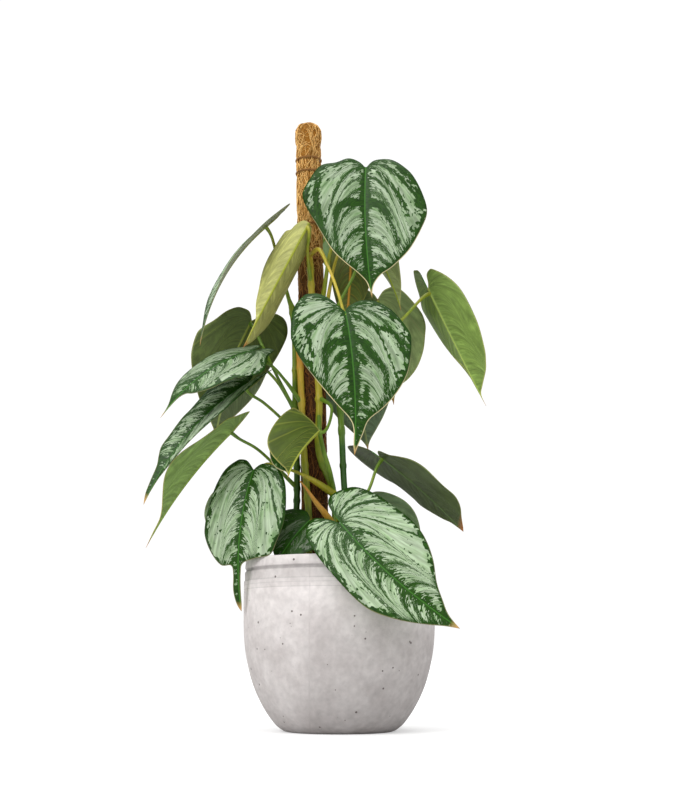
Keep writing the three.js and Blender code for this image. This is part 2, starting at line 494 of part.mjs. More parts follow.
// A closed blade: the same triangles on both faces, offset along the surface's normals, and a rim.
function makeBlade(leaf, thickness) {
  const frame = bladeFrame(leaf);
  const middle = [];
  const rowStart = (row) => (row === 0 ? 0 : 1 + (row - 1) * (BLADE_COLUMNS + 1));
  const last = rowStart(BLADE_ROWS);
  middle.push(...bladePoint(leaf, frame, 0, 0));
  for (let row = 1; row < BLADE_ROWS; row += 1) {
    for (let column = 0; column <= BLADE_COLUMNS; column += 1) {
      middle.push(...bladePoint(leaf, frame, 2 * column / BLADE_COLUMNS - 1, row / BLADE_ROWS));
    }
  }
  middle.push(...bladePoint(leaf, frame, 0, 1));

  const faces = [];
  const first = rowStart(1);
  const final = rowStart(BLADE_ROWS - 1);
  for (let column = 0; column < BLADE_COLUMNS; column += 1) {
    faces.push([0, first + column, first + column + 1]);
    for (let row = 1; row < BLADE_ROWS - 1; row += 1) {
      const here = rowStart(row) + column;
      const next = rowStart(row + 1) + column;
      const leans = column < BLADE_COLUMNS / 2;
      if (leans) faces.push([here, next, here + 1], [next, next + 1, here + 1]);
      else faces.push([here, next, next + 1], [here, next + 1, here + 1]);
    }
    faces.push([final + column, last, final + column + 1]);
  }

  const surface = new THREE.BufferGeometry();
  surface.setAttribute('position', new THREE.Float32BufferAttribute(middle, 3));
  surface.setIndex(faces.flat());
  surface.computeVertexNormals();
  const normals = surface.attributes.normal.array;
  const count = middle.length / 3;
  const upper = middle.map((value, i) => value + normals[i] * thickness / 2);
  const lower = middle.map((value, i) => value - normals[i] * thickness / 2);

  const left = [];
  const right = [];
  for (let row = 1; row < BLADE_ROWS; row += 1) {
    left.push(rowStart(row));
    right.push(rowStart(row) + BLADE_COLUMNS);
  }
  const loop = [0, ...left, last, ...right.reverse()];
  const rim = loop.flatMap((from, i) => {
    const to = loop[(i + 1) % loop.length];
    return [[from, from + count, to], [to, from + count, to + count]];
  });
  const under = faces.map(([i, j, k]) => [i + count, k + count, j + count]);
  const blade = new THREE.BufferGeometry();
  blade.setAttribute('position', new THREE.Float32BufferAttribute([...upper, ...lower], 3));
  blade.setIndex([...faces, ...under, ...rim].flat());
  blade.computeVertexNormals();
  return blade;
}

// The room that a blade takes, with its gap.
const bladeRoom = (leaf) => solidOf(makeBlade(leaf, BLADE_THICKNESS + 2 * TOUCH_GAP));

const plant = new THREE.Group();
plant.name = 'potted_scindapsus';
plant.add(named('pot', makePot(), CONCRETE));

const room = poleRoom();
plant.add(named('soil', geometryOf(makeSoil([room, ...STEMS.map(stemHole)])), EARTH));

const pole = new THREE.Group();
pole.position.copy(POLE_FOOT);
pole.quaternion.copy(poleLean);
pole.add(named('coir_pole', makeCoir(), COIR));
pole.add(named('pole_stake', makeStake(), TIMBER));
TWINE_HEIGHTS.forEach((height, i) => pole.add(named(`twine_${i + 1}`, makeTwine(height), TWINE)));
plant.add(pole);

STEMS.forEach((stem, i) => {
  const leaves = LEAVES.filter((leaf) => leaf.stem === i + 1);
  plant.add(named(stem.name, geometryOf(makeStem(stem, leaves, room)), STEM_GREEN));
});
LEAVES.forEach((leaf) => plant.add(named(leaf.name, makeBlade(leaf, BLADE_THICKNESS), LEAF_GREEN)));

export default plant;
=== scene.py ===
import math

import bpy
import numpy as np
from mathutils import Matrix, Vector


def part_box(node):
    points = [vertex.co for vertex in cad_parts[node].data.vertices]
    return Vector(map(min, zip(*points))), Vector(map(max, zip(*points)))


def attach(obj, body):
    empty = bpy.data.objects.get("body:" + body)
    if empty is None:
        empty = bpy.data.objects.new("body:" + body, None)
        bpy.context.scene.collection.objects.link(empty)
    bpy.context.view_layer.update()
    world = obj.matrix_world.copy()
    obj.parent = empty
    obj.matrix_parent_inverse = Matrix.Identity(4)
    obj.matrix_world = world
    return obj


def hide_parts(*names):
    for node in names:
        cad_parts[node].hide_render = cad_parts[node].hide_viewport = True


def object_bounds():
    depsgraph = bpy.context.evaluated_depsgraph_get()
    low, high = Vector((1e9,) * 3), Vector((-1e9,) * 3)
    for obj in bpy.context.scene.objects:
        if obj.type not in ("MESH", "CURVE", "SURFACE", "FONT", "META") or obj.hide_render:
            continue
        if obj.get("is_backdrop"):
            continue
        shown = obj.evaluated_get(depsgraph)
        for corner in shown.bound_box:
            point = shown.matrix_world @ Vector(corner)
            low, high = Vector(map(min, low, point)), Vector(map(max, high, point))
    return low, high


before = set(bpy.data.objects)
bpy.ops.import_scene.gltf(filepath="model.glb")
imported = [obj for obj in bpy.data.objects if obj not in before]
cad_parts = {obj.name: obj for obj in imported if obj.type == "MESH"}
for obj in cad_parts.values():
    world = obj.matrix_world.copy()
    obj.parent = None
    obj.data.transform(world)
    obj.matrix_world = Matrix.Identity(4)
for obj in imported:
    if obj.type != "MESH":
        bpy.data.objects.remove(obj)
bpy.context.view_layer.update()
scene = bpy.context.scene


# The studio: a low view of the plant, tilted up, on a plain white floor that runs out of sight. Wide soft
# suns shine from the left in front, faintly from the right and from above, in a white room.
def linear(colour):
    """An sRGB hex colour as linear red, green, blue and alpha."""
    parts = [int(colour[i:i + 2], 16) / 255 for i in (1, 3, 5)]
    return (*[p / 12.92 if p <= 0.04045 else ((p + 0.055) / 1.055) ** 2.4 for p in parts], 1.0)


def feed(tree, node, inputs):
    """Sets or links inputs: a dict by socket name or number, or a list of the first ones in their order."""
    for key, value in inputs.items() if isinstance(inputs, dict) else enumerate(inputs):
        if isinstance(value, bpy.types.Node):
            value = next(s for s in value.outputs if s.enabled)
        if isinstance(value, bpy.types.NodeSocket):
            tree.links.new(value, node.inputs[key])
        else:
            node.inputs[key].default_value = value


def add(tree, kind, inputs=(), **settings):
    """Adds a node with its settings and its inputs."""
    node = tree.nodes.new(kind)
    for name, value in settings.items():
        setattr(node, name, value)
    feed(tree, node, inputs)
    return node


def new_finish(name):
    """A new material, its node tree and its surface shader."""
    material = bpy.data.materials.new(name)
    material.use_nodes = True
    return material, material.node_tree, material.node_tree.nodes["Principled BSDF"]


def shown(name, mesh):
    made = bpy.data.objects.new(name, mesh)
    scene.collection.objects.link(made)
    return made


CAMERA_PLACE = (0.0107, -1.3, 0.075)
CAMERA_TILT = 11.16  # degrees above level
LENS = 57.78  # mm on a 36 mm frame
eye = bpy.data.cameras.new("camera")
eye.lens = LENS
eye.clip_end = 50
camera = bpy.data.objects.new("camera", eye)
camera.location = CAMERA_PLACE
camera.rotation_euler = (math.radians(90 + CAMERA_TILT), 0, 0)
scene.collection.objects.link(camera)
scene.camera = camera
scene.view_settings.view_transform = "Standard"

# The room and the floor look brighter to the camera than the light that they give, so they show as white.
ROOM_LIGHT, ROOM_SEEN, FLOOR_SEEN = 0.62, 1.05, 0.42
room = bpy.data.worlds.new("white room")
room.use_nodes = True
tree = room.node_tree
tree.nodes.clear()
seen = add(tree, "ShaderNodeLightPath")
glow = add(tree, "ShaderNodeBackground", {"Color": linear("#ffffff"), "Strength": ROOM_LIGHT})
wall = add(tree, "ShaderNodeBackground", {"Color": linear("#ffffff"), "Strength": ROOM_SEEN})
either = add(tree, "ShaderNodeMixShader", [seen.outputs["Is Camera Ray"], glow, wall])
add(tree, "ShaderNodeOutputWorld", {"Surface": either})
scene.world = room

# Each light: the direction that it shines in, how wide it is in degrees, and its strength. The upright one
# lights the floor evenly out to the horizon.
LIGHTS = {
    "key": ((0.62, 0.66, -0.62), 34, 1.45),
    "fill": ((-0.7, 0.6, -0.25), 60, 0.2),
    "top": ((0.02, 0.12, -1.0), 50, 1.35),
}
for name, (direction, angle, strength) in LIGHTS.items():
    lamp = bpy.data.lights.new(name, "SUN")
    lamp.angle = math.radians(angle)
    lamp.energy = strength
    sun = bpy.data.objects.new(name, lamp)
    sun.rotation_euler = Vector(direction).to_track_quat("-Z", "Y").to_euler()
    scene.collection.objects.link(sun)

FLOOR_REACH = 12  # metres
floor_mesh = bpy.data.meshes.new("floor")
floor_corners = [(-1, -1), (1, -1), (1, 1), (-1, 1)]
floor_mesh.from_pydata([(x * FLOOR_REACH, y * FLOOR_REACH, 0) for x, y in floor_corners], [], [(0, 1, 2, 3)])
white_floor, tree, paint = new_finish("painted studio floor")
seen = add(tree, "ShaderNodeLightPath")
burnt_out = add(tree, "ShaderNodeMath", [seen.outputs["Is Camera Ray"], FLOOR_SEEN], operation="MULTIPLY")
feed(tree, paint, {"Base Color": linear("#dcdcdc"), "Roughness": 1.0, "Specular IOR Level": 0.0,
                   "Emission Color": linear("#ffffff"), "Emission Strength": burnt_out})
floor_mesh.materials.append(white_floor)
floor = shown("floor", floor_mesh)
floor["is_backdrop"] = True


# The pot: one casting of pale concrete, wide at the belly, on a narrow flat foot. The mould leaves a sharp
# groove and two steps under the rim, a faint seam down the front, and air bubbles that open as pores.
POT_OUTLINE = [
    (0, 52), (1.5, 56), (7, 63), (18, 71.5), (30, 78.5), (42, 84), (54, 88), (66, 91), (80, 93.5),
    (98, 95), (127, 95.5),
]  # height and radius of the belly, mm
POT_RIM = [
    (136.6, 95.5), (137.0, 95.3), (137.6, 95.5), (144.6, 95.4), (145.0, 95.3), (145.6, 94.7), (146.2, 94.5),
    (153.6, 94.6), (154.2, 94.3), (154.8, 93.5), (155.6, 93.2), (156.8, 93.3), (157.6, 94.1), (158.4, 94.4),
    (164.2, 93.9), (166.0, 93.3), (166.8, 92.5), (167.0, 91.6), (167.0, 88.2), (166.5, 87.3), (165.5, 86.8),
]  # the steps and the groove under the rim, and the rounded rim, mm
POT_WALL = 9
POT_FLOOR = 14
POT_SEGMENTS = 160
POT_STEPS = 4  # rings between two points of the belly
MM = 0.001


def along_curve(points, b):
    """Points along a Catmull-Rom curve, at fractions from its first given point to its last."""
    spots = np.array(points, float)
    padded = np.vstack([spots[0], spots, spots[-1]])
    position = np.asarray(b, float) * (len(spots) - 1)
    start = np.minimum(position.astype(int), len(spots) - 2)
    t = (position - start)[..., None]
    p0, p1, p2, p3 = (padded[start + k] for k in range(4))
    return 0.5 * (2 * p1 + (p2 - p0) * t + (2 * p0 - 5 * p1 + 4 * p2 - p3) * t * t
                  + (3 * p1 - p0 - 3 * p2 + p3) * t ** 3)


def lathe(name, outline, segments):
    """A closed turned mesh from heights and radii in mm, from the axis at the bottom and back to the axis."""
    angles = np.linspace(0, 2 * math.pi, segments, endpoint=False)
    circle = np.stack([np.cos(angles), np.sin(angles), 0 * angles], axis=1)
    up = np.array([0, 0, MM])
    rings = [r * MM * circle + z * up for z, r in outline]
    corners = np.vstack([*rings, outline[0][0] * up, outline[-1][0] * up])
    faces = []
    for row in range(len(outline) - 1):
        for i in range(segments):
            j = (i + 1) % segments
            low, high = row * segments, (row + 1) * segments
            faces.append((low + i, low + j, high + j, high + i))
    bottom, top = len(corners) - 2, len(corners) - 1
    final = (len(outline) - 1) * segments
    faces += [(bottom, (i + 1) % segments, i) for i in range(segments)]
    faces += [(top, final + i, final + (i + 1) % segments) for i in range(segments)]
    mesh = bpy.data.meshes.new(name)
    mesh.from_pydata(corners.tolist(), [], faces)
    mesh.polygons.foreach_set("use_smooth", [True] * len(mesh.polygons))
    return mesh


def colour_stops(ramp, stops):
    """Gives a colour ramp its stops, as {place: sRGB hex}."""
    places, elements = sorted(stops), ramp.color_ramp.elements
    elements[0].position, elements[1].position = places[0], places[-1]
    for place in places[1:-1]:
        elements.new(place)
    for place, element in zip(places, elements):
        element.color = linear(stops[place])


def fixed(piece, node):
    """Fixes a piece to the plant's one body, in the place of a node, whose part it hides."""
    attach(piece, "root")
    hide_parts(node)


belly_places = np.linspace(0, 1, POT_STEPS * (len(POT_OUTLINE) - 1) + 1)
pot_outside = [tuple(p) for p in along_curve(POT_OUTLINE, belly_places)] + POT_RIM
pot_inside = [(z, r - POT_WALL) for z, r in reversed(POT_OUTLINE) if z > POT_FLOOR + 12]
pot_inside += [(POT_FLOOR + 5, 58), (POT_FLOOR, 48)]
pot = shown("concrete_pot", lathe("concrete_pot", pot_outside + pot_inside, POT_SEGMENTS))

# Fine cast concrete: pale warm grey and matt, blotched where it dried unevenly, with open pores of about a
# millimetre. Painted shade darkens its lower part. The mould's seam shows as a faint upright line.
concrete, tree, skin = new_finish("cast concrete")
where = add(tree, "ShaderNodeTexCoord").outputs["Object"]
place = add(tree, "ShaderNodeSeparateXYZ", [where]).outputs
BLOTCH, MOTTLE, GRAIN, PORE_GAP = 0.032, 0.006, 0.0011, 0.0085  # metres
SEAM_X = -0.027
blotch = add(tree, "ShaderNodeTexNoise",
             {"Vector": where, "Scale": 1 / BLOTCH, "Detail": 7.0, "Roughness": 0.62})
mottle = add(tree, "ShaderNodeTexNoise", {"Vector": where, "Scale": 1 / MOTTLE, "Detail": 5.0})
grain = add(tree, "ShaderNodeTexNoise", {"Vector": where, "Scale": 1 / GRAIN, "Detail": 3.0})
tone = add(tree, "ShaderNodeValToRGB", [blotch])
colour_stops(tone, {0.36: "#cbc4c2", 0.6: "#ded8d6"})
# Painted shade: the concrete is darker toward the bottom of the pot.
painted_shade_below = add(tree, "ShaderNodeMapRange", [place["Z"], 0.0, 0.13, 0.74, 1.0])
speck = add(tree, "ShaderNodeMapRange", [mottle, 0.3, 0.7, 0.9, 1.08])
# Painted shade darkens the groove and the steps under the rim: (height in mm, brightness).
RIM_BANDS = [(136.3, 1), (136.9, 0.8), (137.6, 1), (140.6, 0.98), (141.2, 0.84), (142, 0.97), (144.4, 0.96),
             (145.2, 0.72), (146.4, 0.88), (153.4, 0.85), (154.6, 0.55), (156.8, 0.6), (158.2, 0.97)]
BAND_FOOT, BAND_TOP = 0.13, 0.167
height = add(tree, "ShaderNodeMapRange", [place["Z"], BAND_FOOT, BAND_TOP])
banding = add(tree, "ShaderNodeValToRGB", [height])
colour_stops(banding, {0: "#ffffff", 1: "#ffffff"})
for level, brightness in RIM_BANDS:
    stop = banding.color_ramp.elements.new((level * MM - BAND_FOOT) / (BAND_TOP - BAND_FOOT))
    stop.color = (brightness, brightness, brightness, 1)
# Painted shade: right of the seam the lower belly is darker, up to where the wall stands upright.
beside = add(tree, "ShaderNodeMath", [blotch, 0.05, place["X"]], operation="MULTIPLY_ADD")
right = add(tree, "ShaderNodeMapRange", [beside, -0.012, 0.002])
low = add(tree, "ShaderNodeMapRange", [place["Z"], 0.125, 0.09])
right_low_shade = add(tree, "ShaderNodeMath", [right, low], operation="MULTIPLY")
right_low_shading = add(tree, "ShaderNodeMapRange", [right_low_shade, 0, 1, 1.02, 0.9])
shade = painted_shade_below
for factor in (speck, right_low_shading, banding):
    shade = add(tree, "ShaderNodeMath", [shade, factor], operation="MULTIPLY")
body = add(tree, "ShaderNodeVectorMath", {0: tone, "Scale": shade}, operation="SCALE")

# Pores: small pits, painted dark for the shade inside them, one to a cell, in only some of the cells and of
# varied size.
cells = add(tree, "ShaderNodeTexVoronoi", {"Vector": where, "Scale": 1 / PORE_GAP})
chance = add(tree, "ShaderNodeSeparateColor", [cells.outputs["Color"]])
size = add(tree, "ShaderNodeMapRange", [chance, 0.35, 1.0, 0.0, 0.16])
pit = add(tree, "ShaderNodeMath", [size, cells.outputs["Distance"]], operation="SUBTRACT")
pore_shade = add(tree, "ShaderNodeMapRange", [pit, 0.0, 0.025])

# Seam: a line 1 mm wide down the front, broken by the mottling.
SEAM_DARK = 0.16
aside = add(tree, "ShaderNodeMath", [place["X"], -SEAM_X], operation="ADD")
off_seam = add(tree, "ShaderNodeMath", [aside], operation="ABSOLUTE")
seam = add(tree, "ShaderNodeMapRange", [off_seam, 0.0012, 0.0002])
front = add(tree, "ShaderNodeMath", [place["Y"], 0.0], operation="LESS_THAN")
worn = add(tree, "ShaderNodeMapRange", [mottle, 0.42, 0.6])
for factor in (front, worn, SEAM_DARK):
    seam = add(tree, "ShaderNodeMath", [seam, factor], operation="MULTIPLY")
holes = add(tree, "ShaderNodeMath", [pore_shade, seam], operation="MAXIMUM")
colour = add(tree, "ShaderNodeMix", {"Factor": holes, 6: body, 7: linear("#6f6765")}, data_type="RGBA")
rise = add(tree, "ShaderNodeMath", [mottle, holes], operation="SUBTRACT")
relief = add(tree, "ShaderNodeMath", [grain, 0.35, rise], operation="MULTIPLY_ADD")
bump = add(tree, "ShaderNodeBump", {"Height": relief, "Strength": 0.5, "Distance": 0.0006})
feed(tree, skin, {"Base Color": colour, "Normal": bump, "Roughness": 0.82, "Specular IOR Level": 0.3})
pot.data.materials.append(concrete)
fixed(pot, "pot")


# The soil: peat-based potting soil, pressed level inside the pot and a little higher round the plant's foot.
# It is a turned body with loose crumbs scattered over its top.
SOIL_TOP = 141
SOIL_MOUND = 3
SOIL_SIDE = [
    (POT_FLOOR + 0.4, 47), (POT_FLOOR + 6, 57), (30, 69), (54, 78.5), (80, 84), (110, 86), (130, 86.2),
]  # height and radius
CRUMB = 1.6  # mm, a crumb's mean radius
CRUMBS_PER_SQUARE_METRE = 85000
CRUMBS_ABOVE = 140  # mm
CRUMB_LUMPS = 10 / 9  # mm between the lumps on a crumb
CRUMB_LUMP = 2.2  # mm over which they shift its skin
soil_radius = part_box("soil")[1].x / MM
soil_rings = np.linspace(soil_radius - 0.4, 2, 30)
soil_top = [(SOIL_TOP + SOIL_MOUND * (1 - (r / soil_radius) ** 2), r) for r in soil_rings]
soil_mesh = lathe("soil", SOIL_SIDE + soil_top, 96)


def growing(name, body, sizes):
    """A geometry tree that is given a body, named sizes and a finish, and the sockets that hold them."""
    tree = bpy.data.node_groups.new(name, "GeometryNodeTree")
    for socket, kind in {body: "Geometry", **dict.fromkeys(sizes, "Float"), "Finish": "Material"}.items():
        made = tree.interface.new_socket(socket, in_out="INPUT", socket_type="NodeSocket" + kind)
        if socket in sizes:
            made.default_value = sizes[socket]
    tree.interface.new_socket("Piece", in_out="OUTPUT", socket_type="NodeSocketGeometry")
    return tree, add(tree, "NodeGroupInput").outputs


def finished(tree, shape, finish):
    """Ends a geometry tree with one real mesh in its finish."""
    whole = add(tree, "GeometryNodeRealizeInstances", [shape])
    dressed = add(tree, "GeometryNodeSetMaterial", {"Geometry": whole, "Material": finish})
    add(tree, "NodeGroupOutput", [dressed])


def grown(name, source, nodes, finish):
    """Runs a geometry tree on a mesh and leaves the result as one plain mesh."""
    made = shown(name, source)
    modifier = made.modifiers.new("growth", "NODES")
    modifier.node_group = nodes
    socket = next(item for item in nodes.interface.items_tree if item.name == "Finish")
    modifier[socket.identifier] = finish
    bpy.context.view_layer.update()
    plain = bpy.data.meshes.new_from_object(made.evaluated_get(bpy.context.evaluated_depsgraph_get()))
    made.modifiers.remove(modifier)
    made.data = plain
    return made


tree, given = growing("scattered crumbs", "Body", {
    "Crumb Radius": CRUMB * MM, "Density": CRUMBS_PER_SQUARE_METRE, "Top": CRUMBS_ABOVE * MM})
spot = add(tree, "GeometryNodeInputPosition")
height = add(tree, "ShaderNodeSeparateXYZ", [spot]).outputs["Z"]
on_top = add(tree, "FunctionNodeCompare", [height, given["Top"]], data_type="FLOAT", operation="GREATER_THAN")
scatter = add(tree, "GeometryNodeDistributePointsOnFaces",
              {"Mesh": given["Body"], "Selection": on_top, "Density": given["Density"], "Seed": 4})
ball = add(tree, "GeometryNodeMeshIcoSphere", {"Radius": given["Crumb Radius"], "Subdivisions": 2})
turn = add(tree, "FunctionNodeRandomValue", {0: (0, 0, 0), 1: (6.28, 6.28, 6.28), "Seed": 1},
           data_type="FLOAT_VECTOR")
stretch = add(tree, "FunctionNodeRandomValue", {0: (0.3, 0.3, 0.3), 1: (1.3, 1.1, 0.8), "Seed": 2},
              data_type="FLOAT_VECTOR")
turned = add(tree, "FunctionNodeEulerToRotation", [turn])
strewn = add(tree, "GeometryNodeInstanceOnPoints",
             {"Points": scatter, "Instance": ball, "Rotation": turned, "Scale": stretch})
loose = add(tree, "GeometryNodeRealizeInstances", [strewn])
lumps = add(tree, "ShaderNodeTexNoise", {"Scale": 1 / (CRUMB_LUMPS * MM), "Detail": 2.0})
centred = add(tree, "ShaderNodeVectorMath", [lumps.outputs["Color"], (0.5, 0.5, 0.5)], operation="SUBTRACT")
offset = add(tree, "ShaderNodeVectorMath", {0: centred, "Scale": CRUMB_LUMP * MM}, operation="SCALE")
lumpy = add(tree, "GeometryNodeSetPosition", {"Geometry": loose, "Offset": offset})
joined = add(tree, "GeometryNodeJoinGeometry", [lumpy])
feed(tree, joined, [given["Body"]])
finished(tree, joined, given["Finish"])
crumbling = tree

# Moist potting soil: near-black brown with paler fibres and grit, rough and without any shine.
PEAT = 3.125  # mm between its paler bits
potting_soil, tree, skin = new_finish("peat potting soil")
where = add(tree, "ShaderNodeTexCoord").outputs["Object"]
peat = add(tree, "ShaderNodeTexNoise", {"Vector": where, "Scale": 1 / (PEAT * MM), "Detail": 6.0})
tone = add(tree, "ShaderNodeValToRGB", [peat])
colour_stops(tone, {0.35: "#21160f", 0.72: "#5d4433"})
bump = add(tree, "ShaderNodeBump", {"Height": peat, "Strength": 0.8, "Distance": 0.001})
feed(tree, skin, {"Base Color": tone, "Normal": bump, "Roughness": 0.95, "Specular IOR Level": 0.15})
soil = grown("potting_soil", soil_mesh, crumbling, potting_soil)
fixed(soil, "soil")


# The pole: coconut fibre wound and pressed round a timber stake, pale gold at the top and red-brown and dark
# lower down. It is a dark core under a felt of separate fibres.
POLE_FOOT = np.array([-22, 5, 80.0])
POLE_TOP = np.array([-34.7, 5, 636.0])
POLE_RADIUS = 13.2
TWINE_HEIGHTS = [402, 441, 500, 514.5]  # mm up the pole from its foot
TWINE_PINCH, PINCH_REACH = 1.3, 2.4  # mm that a twine presses the felt in, and how far up and down
POLE_KNOB = [(30, 1), (27, 0.94), (16, 1.06), (7, 1.02), (2.5, 0.8), (0.6, 0.45)]  # mm down, share of radius
POLE_CROWN = 8  # mm at the top where the core's rings stand closer
FELT_DEPTH = 0.7
FIBRE_RADIUS = 0.32
FIBRE_LENGTH = 30
FIBRES_PER_SQUARE_METRE = 62000
FIBRE_WOBBLE = 100 / 9  # mm between the bends of a fibre
FIBRE_DRIFT = 11  # mm over which they throw it about
pole_axis = POLE_TOP - POLE_FOOT
pole_length = np.linalg.norm(pole_axis)
pole_axis /= pole_length
pole_place = Vector((0, 0, 1)).rotation_difference(Vector(pole_axis)).to_matrix().to_4x4()
pole_place.translation = Vector(POLE_FOOT * MM)


def pole_radius(up):
    """The felt's radius at a height up the pole, pinched by each twine and rounded off at the top."""
    knob = [(pole_length - down, share) for down, share in POLE_KNOB]
    share = np.interp(up, [h for h, _ in knob] + [pole_length], [s for _, s in knob] + [0.1])
    pinch = sum(TWINE_PINCH * math.exp(-((up - twine) / PINCH_REACH) ** 2) for twine in TWINE_HEIGHTS)
    return POLE_RADIUS * share - pinch


pole_heights = np.concatenate([np.arange(0, pole_length - POLE_CROWN, 1.6),
                               np.linspace(pole_length - POLE_CROWN, pole_length - 0.3, 10)])
core_mesh = lathe("coir_core", [(z, pole_radius(z) - FELT_DEPTH) for z in pole_heights], 40)
core_mesh.transform(pole_place)

tree, given = growing("felt of fibres", "Core", {
    "Fibre Radius": FIBRE_RADIUS * MM, "Fibre Length": FIBRE_LENGTH * MM, "Density": FIBRES_PER_SQUARE_METRE})
scatter = add(tree, "GeometryNodeDistributePointsOnFaces",
              {"Mesh": given["Core"], "Density": given["Density"], "Seed": 11})
strand = add(tree, "GeometryNodeCurvePrimitiveLine", {"Start": (0, 0, -0.5), "End": (0, 0, 0.5)})
joints = add(tree, "GeometryNodeResampleCurve", {"Curve": strand, "Count": 8})
lean = add(tree, "FunctionNodeRandomValue", {2: -1.0, 3: 1.0, "Seed": 3}, data_type="FLOAT")
cubed = add(tree, "ShaderNodeMath", [lean, 3.0], operation="POWER")
angle = add(tree, "ShaderNodeMath", [cubed, 1.25], operation="MULTIPLY")
tilt = add(tree, "FunctionNodeAxisAngleToRotation", {"Axis": scatter.outputs["Normal"], "Angle": angle})
stretch = add(tree, "FunctionNodeRandomValue", {2: 0.35, 3: 1.3, "Seed": 5}, data_type="FLOAT")
length = add(tree, "ShaderNodeMath", [stretch, given["Fibre Length"]], operation="MULTIPLY")
fibres = add(tree, "GeometryNodeInstanceOnPoints",
             {"Points": scatter, "Instance": joints, "Rotation": tilt, "Scale": length})
for mark, seed in (("fibre_tone", 7), ("fibre_lift", 9)):
    drawn = add(tree, "FunctionNodeRandomValue", {2: 0.0, 3: 1.0, "Seed": seed}, data_type="FLOAT")
    fibres = add(tree, "GeometryNodeStoreNamedAttribute", {"Geometry": fibres, "Name": mark, "Value": drawn},
                 data_type="FLOAT", domain="INSTANCE")
fibres = add(tree, "GeometryNodeRealizeInstances", [fibres])
spot = add(tree, "GeometryNodeInputPosition")
wobble = add(tree, "ShaderNodeTexNoise", {"Vector": spot, "Scale": 1 / (FIBRE_WOBBLE * MM), "Detail": 1.0})
centred = add(tree, "ShaderNodeVectorMath", [wobble.outputs["Color"], (0.5, 0.5, 0.5)], operation="SUBTRACT")
drift = add(tree, "ShaderNodeVectorMath", {0: centred, "Scale": FIBRE_DRIFT * MM}, operation="SCALE")
curled = add(tree, "GeometryNodeSetPosition", {"Geometry": fibres, "Offset": drift})
near = add(tree, "GeometryNodeProximity", {0: given["Core"], "Sample Position": spot}, target_element="FACES")
core_normal = add(tree, "GeometryNodeInputNormal")
sampled = {"Mesh": given["Core"], "Value": core_normal, "Sample Position": spot}
outward = add(tree, "GeometryNodeSampleNearestSurface", sampled, data_type="FLOAT_VECTOR")
lift = add(tree, "GeometryNodeInputNamedAttribute", {"Name": "fibre_lift"}, data_type="FLOAT")
stand = add(tree, "ShaderNodeMapRange", [lift, 0, 1, 0.0001, 0.0012])
proud = add(tree, "ShaderNodeVectorMath", {0: outward, "Scale": stand}, operation="SCALE")
seat = add(tree, "ShaderNodeVectorMath", [near.outputs["Position"], proud], operation="ADD")
wrapped = add(tree, "GeometryNodeSetPosition", {"Geometry": curled, "Position": seat})
ring = add(tree, "GeometryNodeCurvePrimitiveCircle", {"Resolution": 3, "Radius": given["Fibre Radius"]})
threads = add(tree, "GeometryNodeCurveToMesh",
              {"Curve": wrapped, "Profile Curve": ring, "Scale": 1.0, "Fill Caps": True})
joined = add(tree, "GeometryNodeJoinGeometry", [threads])
feed(tree, joined, [given["Core"]])
finished(tree, joined, given["Finish"])
felting = tree

# Coconut fibre: dry, coarse and dull, each fibre its own tone from straw to chestnut. It is paler near the
# top and darkens to red-brown lower down; the core between the fibres is darker still, painted shade for the
# gaps between them.
BROWN_BELOW, GOLD_ABOVE = 0.44, 0.52  # metres above the floor
COIR_PATCH = 50 / 3  # mm
coir, tree, skin = new_finish("coconut fibre")
where = add(tree, "ShaderNodeTexCoord").outputs["Object"]
place = add(tree, "ShaderNodeSeparateXYZ", [where])
fibre = add(tree, "ShaderNodeAttribute", attribute_name="fibre_tone")
patch = add(tree, "ShaderNodeTexNoise", {"Vector": where, "Scale": 1 / (COIR_PATCH * MM), "Detail": 3.0})
mixed = add(tree, "ShaderNodeMath", [patch, fibre.outputs["Fac"]], operation="MULTIPLY")
straw = add(tree, "ShaderNodeValToRGB", [mixed])
colour_stops(straw, {0: "#9a661c", 0.3: "#ffcf80"})
chestnut = add(tree, "ShaderNodeValToRGB", [mixed])
colour_stops(chestnut, {0: "#4a2a12", 0.55: "#b5793f"})
toward_top = add(tree, "ShaderNodeMapRange", [place.outputs["Z"], BROWN_BELOW, GOLD_ABOVE])
colour = add(tree, "ShaderNodeMix", {"Factor": toward_top, 6: chestnut, 7: straw}, data_type="RGBA")
feed(tree, skin, {"Base Color": colour, "Roughness": 0.75, "Specular IOR Level": 0.25})
pole = grown("coir_felt", core_mesh, felting, coir)
fixed(pole, "coir_pole")

# The stake inside the coir is plain sawn timber, pale brown with grain along its length. Only its foot, in
# the soil, is bare.
TIMBER_GRAIN = (400, 400, 25)  # its figure's repeats to a metre, across and along
timber, tree, skin = new_finish("sawn timber")
where = add(tree, "ShaderNodeTexCoord").outputs["Object"]
along = add(tree, "ShaderNodeMapping", {"Vector": where, "Scale": TIMBER_GRAIN})
figure = add(tree, "ShaderNodeTexNoise", {"Vector": along, "Scale": 1.0, "Detail": 4.0})
tone = add(tree, "ShaderNodeValToRGB", [figure])
colour_stops(tone, {0: "#8a6a44", 1: "#c9a878"})
feed(tree, skin, {"Base Color": tone, "Roughness": 0.8})
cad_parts["pole_stake"].data.materials.clear()
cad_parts["pole_stake"].data.materials.append(timber)


